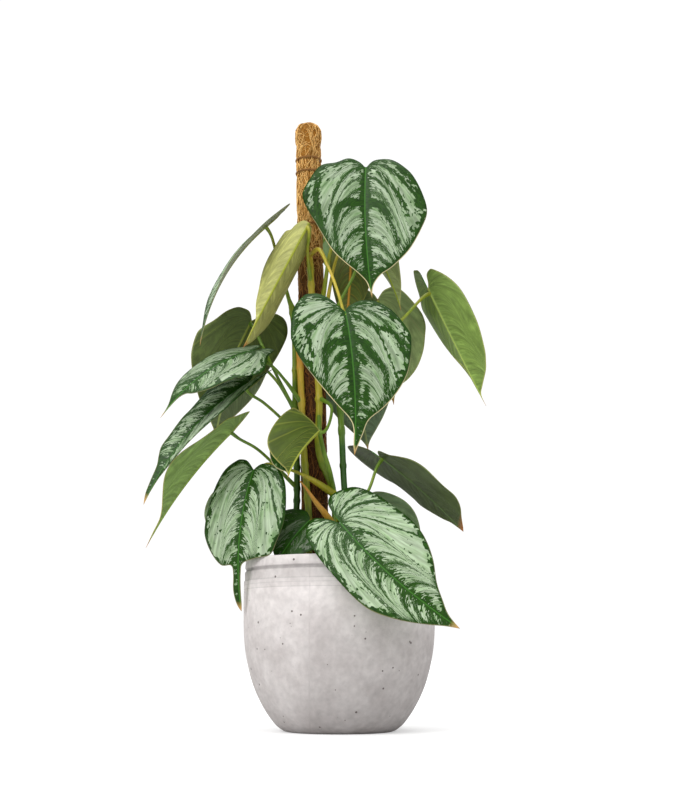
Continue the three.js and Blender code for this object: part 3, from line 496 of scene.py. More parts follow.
# The twine: thin brown two-ply cord tied round the pole to hold the fibre. Each ring is two strands that
# twist round each other.
STRAND_RADIUS = 0.62
TWISTS = 22
tree, given = growing("two-ply ring", "Start", {
    "Ring Radius": POLE_RADIUS * MM, "Strand Radius": STRAND_RADIUS * MM, "Twists": TWISTS})
ring = add(tree, "GeometryNodeCurvePrimitiveCircle", {"Resolution": 200, "Radius": given["Ring Radius"]})
spot = add(tree, "GeometryNodeInputPosition")
outward = add(tree, "ShaderNodeVectorMath", [spot], operation="NORMALIZE")
share = add(tree, "GeometryNodeSplineParameter")
turns = add(tree, "ShaderNodeMath", [share.outputs["Factor"], given["Twists"]], operation="MULTIPLY")
joined = add(tree, "GeometryNodeJoinGeometry")
for half_turn in (0.0, math.pi):
    phase = add(tree, "ShaderNodeMath", [turns, 2 * math.pi, half_turn], operation="MULTIPLY_ADD")
    swing = add(tree, "ShaderNodeMath", [phase], operation="COSINE")
    rise = add(tree, "ShaderNodeMath", [phase], operation="SINE")
    sideways = add(tree, "ShaderNodeVectorMath", {0: outward, "Scale": swing}, operation="SCALE")
    upward = add(tree, "ShaderNodeCombineXYZ", {"Z": rise})
    both = add(tree, "ShaderNodeVectorMath", [sideways, upward], operation="ADD")
    offset = add(tree, "ShaderNodeVectorMath", {0: both, "Scale": given["Strand Radius"]}, operation="SCALE")
    strand = add(tree, "GeometryNodeSetPosition", {"Geometry": ring, "Offset": offset})
    section = add(tree, "GeometryNodeCurvePrimitiveCircle",
                  {"Resolution": 6, "Radius": given["Strand Radius"]})
    cord = add(tree, "GeometryNodeCurveToMesh", {"Curve": strand, "Profile Curve": section, "Scale": 1.0})
    feed(tree, joined, [cord])
finished(tree, joined, given["Finish"])
plying = tree

# Jute twine: dull brown, darker than the coir and hairy.
JUTE_HAIR = 2 / 3  # mm
jute, tree, skin = new_finish("jute twine")
where = add(tree, "ShaderNodeTexCoord").outputs["Object"]
hairs = add(tree, "ShaderNodeTexNoise", {"Vector": where, "Scale": 1 / (JUTE_HAIR * MM), "Detail": 3.0})
tone = add(tree, "ShaderNodeValToRGB", [hairs])
colour_stops(tone, {0.3: "#6b451f", 0.7: "#b3803f"})
feed(tree, skin, {"Base Color": tone, "Roughness": 0.85})
for number, height in enumerate(TWINE_HEIGHTS, 1):
    start = bpy.data.meshes.new("twine")
    start.from_pydata([(0, 0, 0)], [], [])
    twine = grown(f"jute_twine_{number}", start, plying, jute)
    twine.data.transform(pole_place @ pole_place.Translation(Vector((0, 0, height * MM))))
    fixed(twine, f"twine_{number}")


# The leaf blades: heart-shaped, thin and a little quilted between their veins, on a raised midrib, and drawn
# out to a drip tip. Each hangs from its petiole, with its own fold, bow and curl. In mm, as in the frame.
DRIP_START = 0.87
BLADE_THICKNESS = 0.6
BLADE_WAVE = 2
BLADE_WAVES = 2.5
BLADE_COLUMNS = 44
BLADE_ROWS = 74
BLADE_MARGIN = [
    (0, 0), (0.12, -0.075), (0.4, -0.13), (0.72, -0.085), (0.93, 0.04), (1, 0.2), (0.95, 0.36),
    (0.8, 0.51), (0.57, 0.66), (0.33, 0.78), (0.14, 0.87), (0.05, 0.925), (0.015, 0.965), (0, 1),
]
# Halves that differ from it. With the upper face toward the viewer and the tip down, left is the left one.
OWN_MARGINS = {
    "leaf_01": {"left": [
        (0, 0.01), (0.12, -0.04), (0.3, -0.065), (0.5, -0.03), (0.75, 0), (0.93, 0.12), (1.03, 0.22),
        (0.97, 0.31), (0.8, 0.44), (0.58, 0.62), (0.4, 0.715), (0.2, 0.8), (0.07, 0.87), (0.025, 0.93),
        (0, 1),
    ], "right": [
        (0, 0.01), (0.12, -0.045), (0.3, -0.055), (0.45, -0.04), (0.62, 0.01), (0.8, 0.095), (0.95, 0.24),
        (1.02, 0.39), (0.93, 0.52), (0.7, 0.685), (0.4, 0.795), (0.2, 0.84), (0.08, 0.89), (0.025, 0.94),
        (0, 1),
    ]},
    "leaf_02": {"left": [
        (0, 0), (0.08, -0.04), (0.2, -0.1), (0.36, -0.15), (0.51, -0.163), (0.66, -0.147), (0.87, -0.05),
        (0.97, 0.12), (0.95, 0.22), (0.82, 0.36), (0.58, 0.52), (0.34, 0.65), (0.1, 0.76), (0.03, 0.83),
        (0.025, 0.93), (0, 1),
    ], "right": [
        (0, 0), (0.07, -0.035), (0.27, -0.06), (0.44, -0.05), (0.59, -0.02), (0.81, 0.065), (1, 0.2),
        (1.015, 0.26), (0.96, 0.385), (0.86, 0.5), (0.66, 0.615), (0.44, 0.7), (0.22, 0.77), (0.12, 0.865),
        (0.04, 0.95), (0, 1),
    ]},
    "leaf_03": {"left": [
        (0, 0), (0.13, -0.06), (0.34, -0.12), (0.47, -0.115), (0.6, -0.09), (0.73, -0.03), (0.79, 0.1),
        (0.81, 0.28), (0.83, 0.45), (0.79, 0.56), (0.6, 0.69), (0.32, 0.83), (0.13, 0.92), (0, 1),
    ], "right": [
        (0, 0), (0.01, -0.1), (0.06, -0.17), (0.2, -0.205), (0.45, -0.2), (0.74, -0.163), (0.98, -0.04),
        (1.1, 0.15), (1.12, 0.32), (1.02, 0.47), (0.8, 0.61), (0.47, 0.73), (0.27, 0.82), (0.1, 0.9), (0, 1),
    ]},
    "leaf_04": {"left": [
        (0, 0), (0.2, -0.06), (0.37, -0.075), (0.5, -0.065), (0.71, 0), (0.81, 0.12), (0.86, 0.27),
        (0.91, 0.42), (0.89, 0.5), (0.7, 0.605), (0.42, 0.69), (0.17, 0.69), (0.12, 0.75), (0.14, 0.86),
        (0.09, 0.95), (0, 1),
    ], "right": [
        (0, 0), (0.15, -0.04), (0.35, -0.04), (0.5, -0.025), (0.7, 0.02), (0.87, 0.105), (0.97, 0.25),
        (0.98, 0.38), (0.9, 0.5), (0.78, 0.6), (0.45, 0.63), (0.12, 0.67), (0.06, 0.74), (0.04, 0.86),
        (0.03, 0.95), (0, 1),
    ]},
    "leaf_05": {"left": [
        (0, 0), (0.08, -0.05), (0.14, -0.1), (0.27, -0.12), (0.4, -0.11), (0.7, -0.01), (0.91, 0.13),
        (1, 0.33), (0.99, 0.47), (0.8, 0.64), (0.63, 0.72), (0.48, 0.78), (0.2, 0.85), (0.03, 0.9), (0, 1),
    ], "right": [
        (0, 0), (0.02, -0.11), (0.1, -0.16), (0.25, -0.18), (0.42, -0.185), (0.58, -0.11), (0.68, -0.01),
        (0.87, 0.07), (0.92, 0.13), (0.78, 0.31), (0.52, 0.47), (0.3, 0.56), (0.1, 0.66), (0.03, 0.85),
        (0, 1),
    ]},
    "leaf_06": {"left": [
        (0, 0), (0.15, -0.06), (0.3, -0.08), (0.45, -0.08), (0.62, -0.025), (0.8, 0.08), (0.95, 0.19),
        (1, 0.3), (0.95, 0.4), (0.85, 0.53), (0.65, 0.67), (0.4, 0.77), (0.16, 0.83), (0.05, 0.91), (0, 1),
    ]},
    "leaf_08": {"left": [
        (0, 0), (0.1, -0.03), (0.24, -0.015), (0.38, 0.085), (0.56, 0.165), (0.8, 0.29), (0.95, 0.42),
        (1.05, 0.54), (1.09, 0.64), (1.03, 0.72), (0.97, 0.82), (0.78, 0.9), (0.5, 0.945), (0.2, 0.985),
        (0, 1),
    ], "right": [
        (0, 0), (0.02, -0.1), (0.2, -0.23), (0.45, -0.32), (0.64, -0.353), (0.73, -0.27), (0.76, -0.1),
        (0.74, 0.09), (0.67, 0.22), (0.66, 0.4), (0.65, 0.5), (0.49, 0.63), (0.3, 0.77), (0.14, 0.86), (0, 1),
    ]},
    "leaf_10": {"left": [
        (0, 0), (0.1, -0.05), (0.22, -0.1), (0.42, -0.15), (0.57, -0.157), (0.7, -0.15), (0.84, -0.11),
        (0.94, -0.03), (0.955, 0.1), (0.93, 0.24), (0.85, 0.4), (0.62, 0.58), (0.3, 0.8), (0.08, 0.93),
        (0, 1),
    ], "right": [
        (0, 0), (0.07, -0.04), (0.16, -0.065), (0.3, -0.065), (0.45, -0.045), (0.63, 0.03), (0.78, 0.14),
        (0.97, 0.26), (1, 0.33), (0.95, 0.45), (0.87, 0.54), (0.7, 0.65), (0.35, 0.82), (0.08, 0.93), (0, 1),
    ]},
    "leaf_11": {"left": [
        (0, 0), (0.1, -0.08), (0.3, -0.17), (0.55, -0.2), (0.8, -0.12), (0.97, 0.02), (1, 0.18), (0.95, 0.34),
        (0.82, 0.5), (0.6, 0.64), (0.35, 0.76), (0.12, 0.86), (0.04, 0.92), (0.02, 0.96), (0, 1),
    ], "right": [
        (0, 0), (0.05, -0.1), (0.18, -0.14), (0.35, -0.12), (0.5, -0.03), (0.72, 0.04), (0.95, 0.13),
        (1, 0.22), (0.97, 0.3), (0.78, 0.47), (0.62, 0.61), (0.33, 0.71), (0.15, 0.74), (0.05, 0.8),
        (0.02, 0.9), (0, 1),
    ]},
    "leaf_12": {"left": [
        (0, 0), (0.1, -0.06), (0.3, -0.1), (0.5, -0.06), (0.6, 0.05), (0.58, 0.16), (0.5, 0.27), (0.46, 0.36),
        (0.47, 0.43), (0.42, 0.56), (0.4, 0.65), (0.3, 0.71), (0.19, 0.77), (0.13, 0.87), (0.09, 0.94),
        (0, 1),
    ]},
    "leaf_13": {"right": [
        (0, 0), (0.05, -0.14), (0.12, -0.15), (0.35, -0.05), (0.5, 0.01), (0.6, 0.13), (0.75, 0.23),
        (0.95, 0.34), (1, 0.42), (0.95, 0.52), (0.8, 0.6), (0.55, 0.67), (0.25, 0.74), (0.1, 0.8),
        (0.05, 0.9), (0, 1),
    ]},
    "leaf_15": {"left": [
        (0, 0), (0.25, 0), (0.48, 0.03), (0.8, 0.07), (1.1, 0.12), (1.2, 0.22), (1.2, 0.5), (1.15, 0.62),
        (0.95, 0.72), (0.6, 0.82), (0.35, 0.9), (0.1, 0.96), (0.03, 0.98), (0, 1),
    ], "right": [
        (0, 0), (0.2, -0.015), (0.4, -0.01), (0.6, 0.025), (0.7, 0.06), (1, 0.08), (1.14, 0.19), (1.18, 0.26),
        (1.1, 0.34), (0.95, 0.42), (0.7, 0.53), (0.45, 0.65), (0.1, 0.77), (0.03, 0.88), (0, 1),
    ]},
    "leaf_16": dict.fromkeys(("left", "right"), [
        (0, 0), (0.02, -0.08), (0.1, -0.15), (0.25, -0.18), (0.4, -0.14), (0.6, 0), (0.8, 0.15), (0.9, 0.3),
        (0.85, 0.45), (0.65, 0.6), (0.4, 0.73), (0.2, 0.83), (0.08, 0.92), (0.03, 0.96), (0, 1),
    ]),
}
# arch, sway, fold and curl bend a blade, and lobe, full and drip change the common outline. A blade's
# petiole starts at a height on a stem and goes via some points, and ripe and sheath are its ripeness and the
# girth of its foot. bold is the width of the dark marks, veer the angle at which the side veins leave the
# midrib, cream the strength of the pale margin, silver_lighting the silver's brightness, edging the width of
# the flecked border, and under and vein are the colours of the underside and of its midrib. The silver's
# brightness is painted light: higher on the leaves that catch highlights from above, and far lower on
# leaf_17, which is in shade.
COMMON_LEAF = dict(
    arch=8, fold=0.1, curl=-0.2, sway=0, lobe=1, full=0, drip=0, via=[], bold=0.6, veer=1.55, cream=0.3,
    silver_lighting=1.06, edging=1.0, under="#7f9c6c", vein="#a9b96a", ripe=0.3, sheath=0.55, slot="leaf")
LEAVES = {
    "leaf_01": dict(
        base=(27, -48, 567), tip=(33, -58, 423.5), face=(-0.09, -0.99, 0.07), width=124, arch=6, fold=0.12,
        curl=-0.15, sway=3, stem=3, height=437, via=[(-9, -34, 482), (8, -30, 530)], bold=1.15, veer=1.81,
        cream=1, under="#86a070", ripe=0.45),
    "leaf_02": dict(
        base=(6, -66, 408), tip=(15, -76, 262), face=(0.04, -1, 0.07), width=118, fold=0.12, curl=-0.15,
        sway=-4, stem=2, height=480, via=[(-21, -36, 482), (-12, -42, 463), (-3, -54, 436)], bold=1.15,
        veer=1.77, cream=1, under="#86a070", ripe=0.7),
    "leaf_03": dict(
        base=(2, -82, 196), tip=(111, -112, 97), face=(0.06, -0.93, 0.36), width=97, sway=9, stem=2,
        height=196, via=[(2, -46, 207)], bold=1.5, silver_lighting=1.2, edging=0.55, ripe=0.5),
    "leaf_04": dict(
        base=(-85, -36, 254), tip=(-95, -33, 115), face=(-0.43, -0.9, 0), width=92, arch=16, curl=-0.3,
        stem=2, height=232, via=[(-31, -28, 247), (-53, -30, 256), (-74, -24, 261)], bold=1.5, veer=1.51,
        silver_lighting=1.15, edging=0.55, ripe=0.6, sheath=1.7),
    "leaf_05": dict(
        base=(92, -20, 444), tip=(147, -40, 317), face=(0.82, 0.49, 0.28), width=77, arch=4, fold=0.3,
        curl=-0.1, sway=-6, stem=3, height=340, via=[(25, -24, 372), (64, -36, 408)], cream=0.6,
        under="#7d9848", vein="#9db352", ripe=0.5),
    "leaf_06": dict(
        base=(40, 10, 442), tip=(56, 2, 326), face=(0.24, 0.97, -0.03), width=90, arch=6, curl=0.1, stem=3,
        height=360, via=[(14, -8, 405)], bold=0.8, veer=1.62, cream=0.5, under="#82955a", vein="#8b7a52",
        ripe=0.55),
    "leaf_07": dict(
        base=(13, -4, 516), tip=(6, -18, 396), face=(0.15, 0.98, -0.12), width=54, arch=6, fold=0.4, curl=0.1,
        lobe=0.5, stem=3, height=420, via=[(-4, -20, 475)], bold=0.8, cream=0.5, under="#5d6a2a",
        vein="#c98f2e", ripe=0.7, slot="young_leaf"),
    "leaf_08": dict(
        base=(41, -22, 269), tip=(121, -50, 191), face=(0.72, 0.31, 0.63), width=82, arch=3, fold=-0.05,
        curl=0.1, stem=3, height=190, via=[(16, -34, 210), (30, -30, 236)], under="#4f5f34", vein="#5f7a45"),
    "leaf_09": dict(
        base=(13, 36, 397), tip=(30, 22, 281), face=(-0.15, 0.98, -0.12), width=84, arch=6, curl=0, stem=3,
        height=300, via=[(4, 4, 350)], bold=0.8, veer=1.62, under="#5f7355", vein="#7d8a55"),
    "leaf_10": dict(
        base=(-92, 0, 416), tip=(-138, -6, 307), face=(-0.36, 0.93, 0.11), width=90, arch=5, curl=0, stem=1,
        height=300, via=[(-67, -20, 359), (-79, -20, 384)], bold=0.8, veer=1.62, under="#56672e",
        vein="#8d9a3c"),
    "leaf_11": dict(
        base=(-87, -40, 374.5), tip=(-171, -90, 296), face=(-0.24, -0.66, 0.71), width=78, arch=12,
        fold=-0.05, curl=-0.3, stem=1, height=325, via=[(-54, -20, 346), (-70, -28, 362)], bold=1.5,
        veer=1.51, cream=0.2, silver_lighting=1.02, edging=0.7, under="#6f8f5c", vein="#9db352"),
    "leaf_12": dict(
        base=(-93, -26, 344), tip=(-189, -62, 216), face=(-0.49, -0.67, 0.56), width=84, arch=14, fold=0.35,
        curl=0, full=0.2, drip=0.05, stem=1, height=285, via=[(-53, -17, 303), (-78, -16, 326)], bold=1.5,
        veer=1.47, cream=0.2, silver_lighting=1.15, edging=0.8, under="#6f8f5c", vein="#9db352"),
    "leaf_13": dict(
        base=(-107, -16, 298), tip=(-189, -40, 176), face=(-0.83, 0, 0.56), width=78, arch=6, fold=0.45,
        curl=0, full=0.1, drip=0.2, stem=4, height=240, via=[(-83, -12, 278)], cream=0.8, under="#86a556",
        vein="#93ad48"),
    "leaf_14": dict(
        base=(-19, -46, 291), tip=(-49, -77, 240), face=(-0.89, 0.27, 0.36), width=80, arch=4, fold=1.1,
        curl=0.3, lobe=0.2, full=0.6, stem=2, height=330, via=[(-8, -30, 318)], veer=1.62, cream=0.6,
        under="#4f6114", vein="#a9b03c", slot="young_leaf"),
    "leaf_15": dict(
        base=(-31, -45, 507), tip=(-94, -80, 367), face=(-0.38, 0.92, -0.07), width=56, arch=3, fold=0.8,
        curl=0.4, stem=2, height=450, via=[(-33, -30, 480)], bold=0.4, veer=1.4, cream=0.6, under="#adae66",
        vein="#98a02e", ripe=0.5, slot="young_leaf"),
    "leaf_16": dict(
        base=(-74, -20, 515), tip=(-140, -46, 378), face=(-0.84, -0.3, 0.45), width=76, arch=13, fold=0.12,
        curl=0, stem=4, height=425, via=[(-66, -2, 484)], veer=1.47, cream=0.4, under="#8d9a72",
        vein="#a7ab55", ripe=0.45),
    "leaf_17": dict(
        base=(-29, -40, 203), tip=(-62, -54, 157), face=(-0.24, -0.84, 0.49), width=60, arch=4, curl=-0.1,
        full=0.2, stem=2, height=170, bold=1.6, veer=1.62, cream=0.1, silver_lighting=0.45, under="#3f5a2c",
        vein="#7d8a55"),
    "leaf_18": dict(
        base=(31, -28, 495), tip=(63, -32, 418), face=(0.85, 0.4, 0.33), width=46, arch=3, fold=0.4, curl=0,
        stem=3, height=400, via=[(0, -26, 428), (14, -30, 455)], veer=1.47, cream=0.5, under="#a9b878",
        vein="#a3b43c", slot="young_leaf"),
    "leaf_19": dict(
        base=(8, 48, 560), tip=(13, 82, 460), face=(0.1, 0.9, 0.4), width=92, stem=4, height=400,
        via=[(-26, 34, 500)], bold=0.8, veer=1.7, cream=0.6),
    "leaf_20": dict(
        base=(-2, 58, 415), tip=(6, 90, 320), face=(0.1, 0.9, 0.4), width=88, stem=4, height=320,
        via=[(-38, 30, 360), (-18, 50, 395)], bold=0.5, veer=1.62, cream=0.4),
    "leaf_21": dict(
        base=(-103, 40, 399), tip=(-135, 66, 300), face=(-0.5, 0.8, 0.4), width=80, stem=4, height=320,
        via=[(-70, 34, 362)], bold=0.9, veer=1.7, cream=0.6, under="#6f7f55"),
    "leaf_22": dict(
        base=(30, 52, 229), tip=(81, 100, 147), face=(0.4, 0.7, 0.6), width=84, stem=3, height=170,
        via=[(16, 20, 205)], bold=0.4),
    "leaf_23": dict(
        base=(-99, 42, 241), tip=(-122, 92, 173), face=(-0.4, 0.7, 0.6), width=78, stem=4, height=190,
        via=[(-70, 24, 220)], bold=0.45),
}
for name, leaf in LEAVES.items():
    LEAVES[name] = {**COMMON_LEAF, **leaf, "name": name}
# The broad dark marks of the two front leaves, as lines through [across, along, half-width in mm].
MARKS = {
    "leaf_01": [
        [(0, 0.05, 3), (0, 0.12, 4.5), (0, 0.22, 5), (0, 0.3, 7), (0, 0.38, 3.2), (0, 0.5, 2.5), (0, 0.58, 3),
         (0, 0.66, 5.5), (0, 0.8, 4.5), (0, 0.88, 2)],
        [(0, 0.29, 4.5), (0.25, 0.29, 4.5), (0.4, 0.31, 4), (0.47, 0.37, 3), (0.5, 0.47, 1.5),
         (0.46, 0.68, 1)],
        [(0, 0.28, 4.5), (-0.25, 0.32, 4), (-0.37, 0.4, 3), (-0.43, 0.48, 1.2), (-0.5, 0.58, 1.5)],
        [(-0.5, 0.58, 1.5), (-0.52, 0.63, 3)],
        [(0.7, 0.06, 1), (0.78, 0.14, 2), (0.8, 0.22, 3), (0.78, 0.35, 3), (0.7, 0.5, 1.5)],
        [(-0.2, 0.05, 1), (-0.35, 0.12, 1.5), (-0.5, 0.2, 1.5), (-0.6, 0.28, 2), (-0.72, 0.42, 1)],
        [(-0.9, 0.18, 2), (-0.88, 0.28, 2.5), (-0.85, 0.4, 1)],
    ],
    "leaf_02": [
        [(0, 0.05, 3), (0, 0.12, 6), (0, 0.22, 6.5), (0, 0.3, 3.5), (0, 0.4, 6), (0, 0.55, 5.5), (0, 0.68, 3),
         (0, 0.8, 1.5)],
        [(0, 0.24, 4), (0.3, 0.22, 3.5), (0.45, 0.28, 3), (0.46, 0.36, 2.5), (0.45, 0.5, 1)],
        [(0.2, -0.02, 1.2), (0.5, 0.08, 1.5), (0.68, 0.13, 2), (0.7, 0.2, 2), (0.65, 0.32, 1)],
        [(0.62, 0.08, 3), (0.68, 0.1, 3.5)],
        [(-0.1, 0.03, 1), (-0.25, 0.09, 1.5), (-0.45, 0.15, 1.5), (-0.62, 0.17, 2), (-0.75, 0.22, 2),
         (-0.83, 0.29, 2), (-0.87, 0.37, 1.5)],
        [(-0.1, 0.2, 3), (-0.27, 0.28, 3.5), (-0.35, 0.36, 3), (-0.5, 0.43, 2.5), (-0.55, 0.5, 2),
         (-0.5, 0.61, 1.2)],
        [(-0.05, 0.28, 2.5), (-0.2, 0.39, 2)],
        [(-0.2, 0.56, 2), (-0.18, 0.66, 2.5)],
        [(0.17, 0.31, 2), (0.22, 0.35, 3)],
    ],
}


def unit(vector):
    return vector / np.linalg.norm(vector, axis=-1, keepdims=True)


def blade_frame(leaf):
    base = np.array(leaf["base"], float)
    along = np.array(leaf["tip"], float) - base
    length = np.linalg.norm(along)
    along = along / length
    face = np.array(leaf["face"], float)
    face = unit(face - along * face.dot(along))
    return base, along, face, np.cross(along, face), length


def midrib_at(leaf, t):
    """Midrib points, normals and sideways directions at fractions of the blade's length."""
    base, along, face, side, length = blade_frame(leaf)
    t = np.asarray(t, float)[..., None]
    bow = np.where(t < 0, 4 * t, 4 * t * (1 - t))
    slope = 4 * (1 - 2 * np.maximum(t, 0)) / length
    throw = face * leaf["arch"] + side * leaf["sway"]
    point = base + along * t * length + throw * bow
    tangent = unit(along + throw * slope)
    level = unit(side - tangent * np.sum(tangent * side, axis=-1, keepdims=True))
    return point, np.cross(level, tangent), level


def margin_at(leaf, half, b):
    """Margin of one half of a blade: its own, or the common one with shorter lobes or a longer drip tip."""
    own = OWN_MARGINS.get(leaf["name"], {}).get(half)
    if own:
        return along_curve(own, b)
    across, y = np.moveaxis(along_curve(BLADE_MARGIN, b), -1, 0)
    neck = DRIP_START * (1 - leaf["drip"])
    share = y / DRIP_START
    middle = neck * (share + leaf["full"] * share * (1 - share))
    beyond = 1 - (1 - y) * (1 - neck) / (1 - DRIP_START)
    return np.stack([across, np.where(y < 0, y * leaf["lobe"], np.where(share > 1, beyond, middle))], axis=-1)


def blade_flat(leaf, a, b):
    """Flat place of a blade's point: across in half widths, and along in lengths."""
    left, right = margin_at(leaf, "left", b), margin_at(leaf, "right", b)
    margin = np.where((a > 0)[..., None], left, right)
    spine = b ** 1.5
    return np.abs(a) * margin[..., 0], spine + (margin[..., 1] - spine) * a * a


def blade_surface(leaf, a, b):
    """Points of the middle surface."""
    reach, t = blade_flat(leaf, a, b)
    point, normal, side = midrib_at(leaf, t)
    fold, curl = leaf["fold"], leaf["curl"]
    bent = fold + curl * reach
    across = reach * math.cos(fold) if curl == 0 else (np.sin(bent) - math.sin(fold)) / curl
    lift = reach * math.sin(fold) if curl == 0 else (math.cos(fold) - np.cos(bent)) / curl
    ripple = BLADE_WAVE * reach ** 2 * np.sin(2 * math.pi * BLADE_WAVES * b + 2 * np.sign(a))
    half = leaf["width"] / 2
    return point + side * (np.sign(a) * across * half)[..., None] + normal * (lift * half + ripple)[..., None]


VEIN_BEND = 1.35  # how far a side vein turns toward the tip in all, radians
VEIN_TURN = 0.2  # and over what share of the blade's length most of that happens
VEIN_SEARCH, HALVINGS = 0.4, 24  # lengths past a place that its vein may start, and how finely that is found
BASAL_SPREAD = 0.28  # lengths to a radian between the veins that start at the notch


def vein_field(leaf, across, along):
    """For flat places in mm: where the side vein through each leaves the midrib, and how far along it is."""
    length = blade_frame(leaf)[4]
    x, y = np.abs(across) / length, along / length

    def late(start):
        reach = np.hypot(x, y - start)
        return np.arctan2(x, y - start) + VEIN_BEND * (1 - np.exp(-reach / VEIN_TURN)) - leaf["veer"]

    low, high = np.zeros_like(x), np.maximum(y, 1e-6) + VEIN_SEARCH
    for _ in range(HALVINGS):
        middle = (low + high) / 2
        too_far = late(middle) > 0
        high = np.where(too_far, middle, high)
        low = np.where(too_far, low, middle)
    basal = late(0)
    start = np.where(basal > 0, 0, low)
    return np.where(basal > 0, -BASAL_SPREAD * basal, start) * length, np.hypot(x, y - start) * length


def rim_distance(leaf, across, along):
    """Distance in mm from flat places to the nearest point of the margin."""
    b = np.linspace(0, 1, 300)
    size = np.array([leaf["width"] / 2, blade_frame(leaf)[4]])
    margin = np.vstack([margin_at(leaf, "left", b) * size, margin_at(leaf, "right", b) * size * (-1, 1)])
    spots = np.stack([across, along], axis=1)
    return np.linalg.norm(spots[:, None, :] - margin[None, :, :], axis=2).min(axis=1)


def mark_depth(leaf, across, along):
    """How deep inside a dark mark each flat place is, in mm; far below zero where a leaf has none."""
    depth = np.full(across.shape, -20.0)
    size = np.array([leaf["width"] / 2, blade_frame(leaf)[4], 1])
    place = np.stack([across, along], axis=-1)
    for line in MARKS.get(leaf["name"], []):
        spots = np.array(line) * size
        for start, end in zip(spots, spots[1:]):
            step = end[:2] - start[:2]
            share = np.clip(((place - start[:2]) @ step) / (step @ step), 0, 1)
            gap = np.linalg.norm(place - start[:2] - share[..., None] * step, axis=-1)
            depth = np.maximum(depth, start[2] + (end[2] - start[2]) * share - gap)
    return depth


CROWDING = 1.35  # how much closer the columns of a blade's mesh stand near the midrib
VEIN_SPACE = 0.1  # a side vein to the next, in lengths
QUILT = 0.35  # mm that the blade bulges between its side veins
QUILT_FROM_RIB, QUILT_FROM_RIM = 5, 6  # mm off each where the quilting is full
GROOVE_DEPTH, GROOVE_WIDTH = 0.35, 1.3  # mm, the groove above the midrib
RIB_DEPTH, RIB_WIDTH, TIP_RIB_WIDTH = 0.9, 1.1, 0.35  # mm, the midrib below
RIM_BEVEL = 0.8  # mm over which the blade thins to its margin


def blade_mesh(name, leaf, number):
    """One blade as a closed mesh: two skins, a thin rim, and the marks that its pattern follows."""
    u = np.linspace(-1, 1, BLADE_COLUMNS + 1)
    a, b = np.meshgrid(np.sign(u) * np.abs(u) ** CROWDING, np.linspace(0, 1, BLADE_ROWS + 1)[1:-1])
    a = np.concatenate([[0.0], a.ravel(), [0.0]])
    b = np.concatenate([[0.0], b.ravel(), [1.0]])
    half, length = leaf["width"] / 2, blade_frame(leaf)[4]
    reach, t = blade_flat(leaf, a, b)
    across, along = reach * half * np.sign(a), t * length
    flow, run = vein_field(leaf, across, along)
    rim, rib = rim_distance(leaf, across, along), np.abs(across)

    step = 1e-3
    inner = np.clip(b, 0.01, 0.99)
    offset = np.where(a > 0.5, -step, step)
    over = (blade_surface(leaf, a + offset, inner) - blade_surface(leaf, a, inner)) * np.sign(offset)[:, None]
    on = blade_surface(leaf, a, inner + step) - blade_surface(leaf, a, inner - step)
    normal = unit(np.cross(over, on))
    _, upward, _ = midrib_at(leaf, t)
    normal *= np.sign(np.sum(normal * upward, axis=1))[:, None]

    space = VEIN_SPACE * length
    inland = np.clip(rib / QUILT_FROM_RIB, 0, 1) * np.clip(rim / QUILT_FROM_RIM, 0, 1)
    quilt = QUILT * (0.5 - 0.5 * np.cos(2 * math.pi * flow / space)) * inland
    groove = GROOVE_DEPTH * np.exp(-(rib / GROOVE_WIDTH) ** 2) * np.clip(1 - t, 0, 1)
    middle = blade_surface(leaf, a, b) + normal * (quilt - groove)[:, None]
    thick = BLADE_THICKNESS / 2 * np.sqrt(np.clip(rim / RIM_BEVEL, 0.12, 1))
    rib_width = np.maximum(TIP_RIB_WIDTH, RIB_WIDTH * (1 - t))
    ridge = RIB_DEPTH * np.exp(-(rib / rib_width) ** 2) * np.clip(1.05 - t, 0, 1)
    upper = middle + normal * thick[:, None]
    lower = middle - normal * (thick + ridge)[:, None]

    count, columns, rows = len(a), BLADE_COLUMNS + 1, BLADE_ROWS - 1
    last = count - 1
    faces = []
    for column in range(BLADE_COLUMNS):
        faces.append((0, 1 + column, 2 + column))
        for row in range(rows - 1):
            here = 1 + row * columns + column
            faces.append((here, here + columns, here + columns + 1, here + 1))
        final = 1 + (rows - 1) * columns + column
        faces.append((final, last, final + 1))
    left = [1 + row * columns for row in range(rows)]
    right = [1 + row * columns + BLADE_COLUMNS for row in range(rows)]
    loop = [0, *left, last, *reversed(right)]
    under = [tuple(i + count for i in reversed(face)) for face in faces]
    band = [(p, p + count, q + count, q) for p, q in zip(loop, loop[1:] + loop[:1])]

    mesh = bpy.data.meshes.new(name)
    mesh.from_pydata((np.vstack([upper, lower]) * MM).tolist(), [], faces + under + band)
    mesh.polygons.foreach_set("use_smooth", [True] * len(mesh.polygons))
    mesh.polygons.foreach_set("material_index", [0] * len(faces) + [1] * len(under) + [0] * len(band))
    lane = number * 3.7 + np.sign(across) * 11
    marks = {
        "vein": (flow, run, lane),
        "place": (rib, rim, t),
        "habit": (leaf["bold"], leaf["cream"], space),
        "mark": (mark_depth(leaf, across, along), leaf["silver_lighting"], leaf["edging"]),
    }
    for mark, values in marks.items():
        layer = mesh.attributes.new(mark, "FLOAT_VECTOR", "POINT")
        one = np.stack(np.broadcast_arrays(flow, *values)[1:], axis=1)
        layer.data.foreach_set("vector", np.tile(one.astype(np.float32).ravel(), 2))
    for mark in ("under", "vein"):
        layer = mesh.attributes.new(mark + "_colour", "FLOAT_COLOR", "POINT")
        layer.data.foreach_set("color", np.tile(linear(leaf[mark]), 2 * count))
    return mesh


def blade_mark(tree, name):
    """One of the marks that a blade's mesh holds, and its three parts."""
    vector = add(tree, "ShaderNodeAttribute", attribute_name=name).outputs["Vector"]
    return vector, add(tree, "ShaderNodeSeparateXYZ", [vector]).outputs


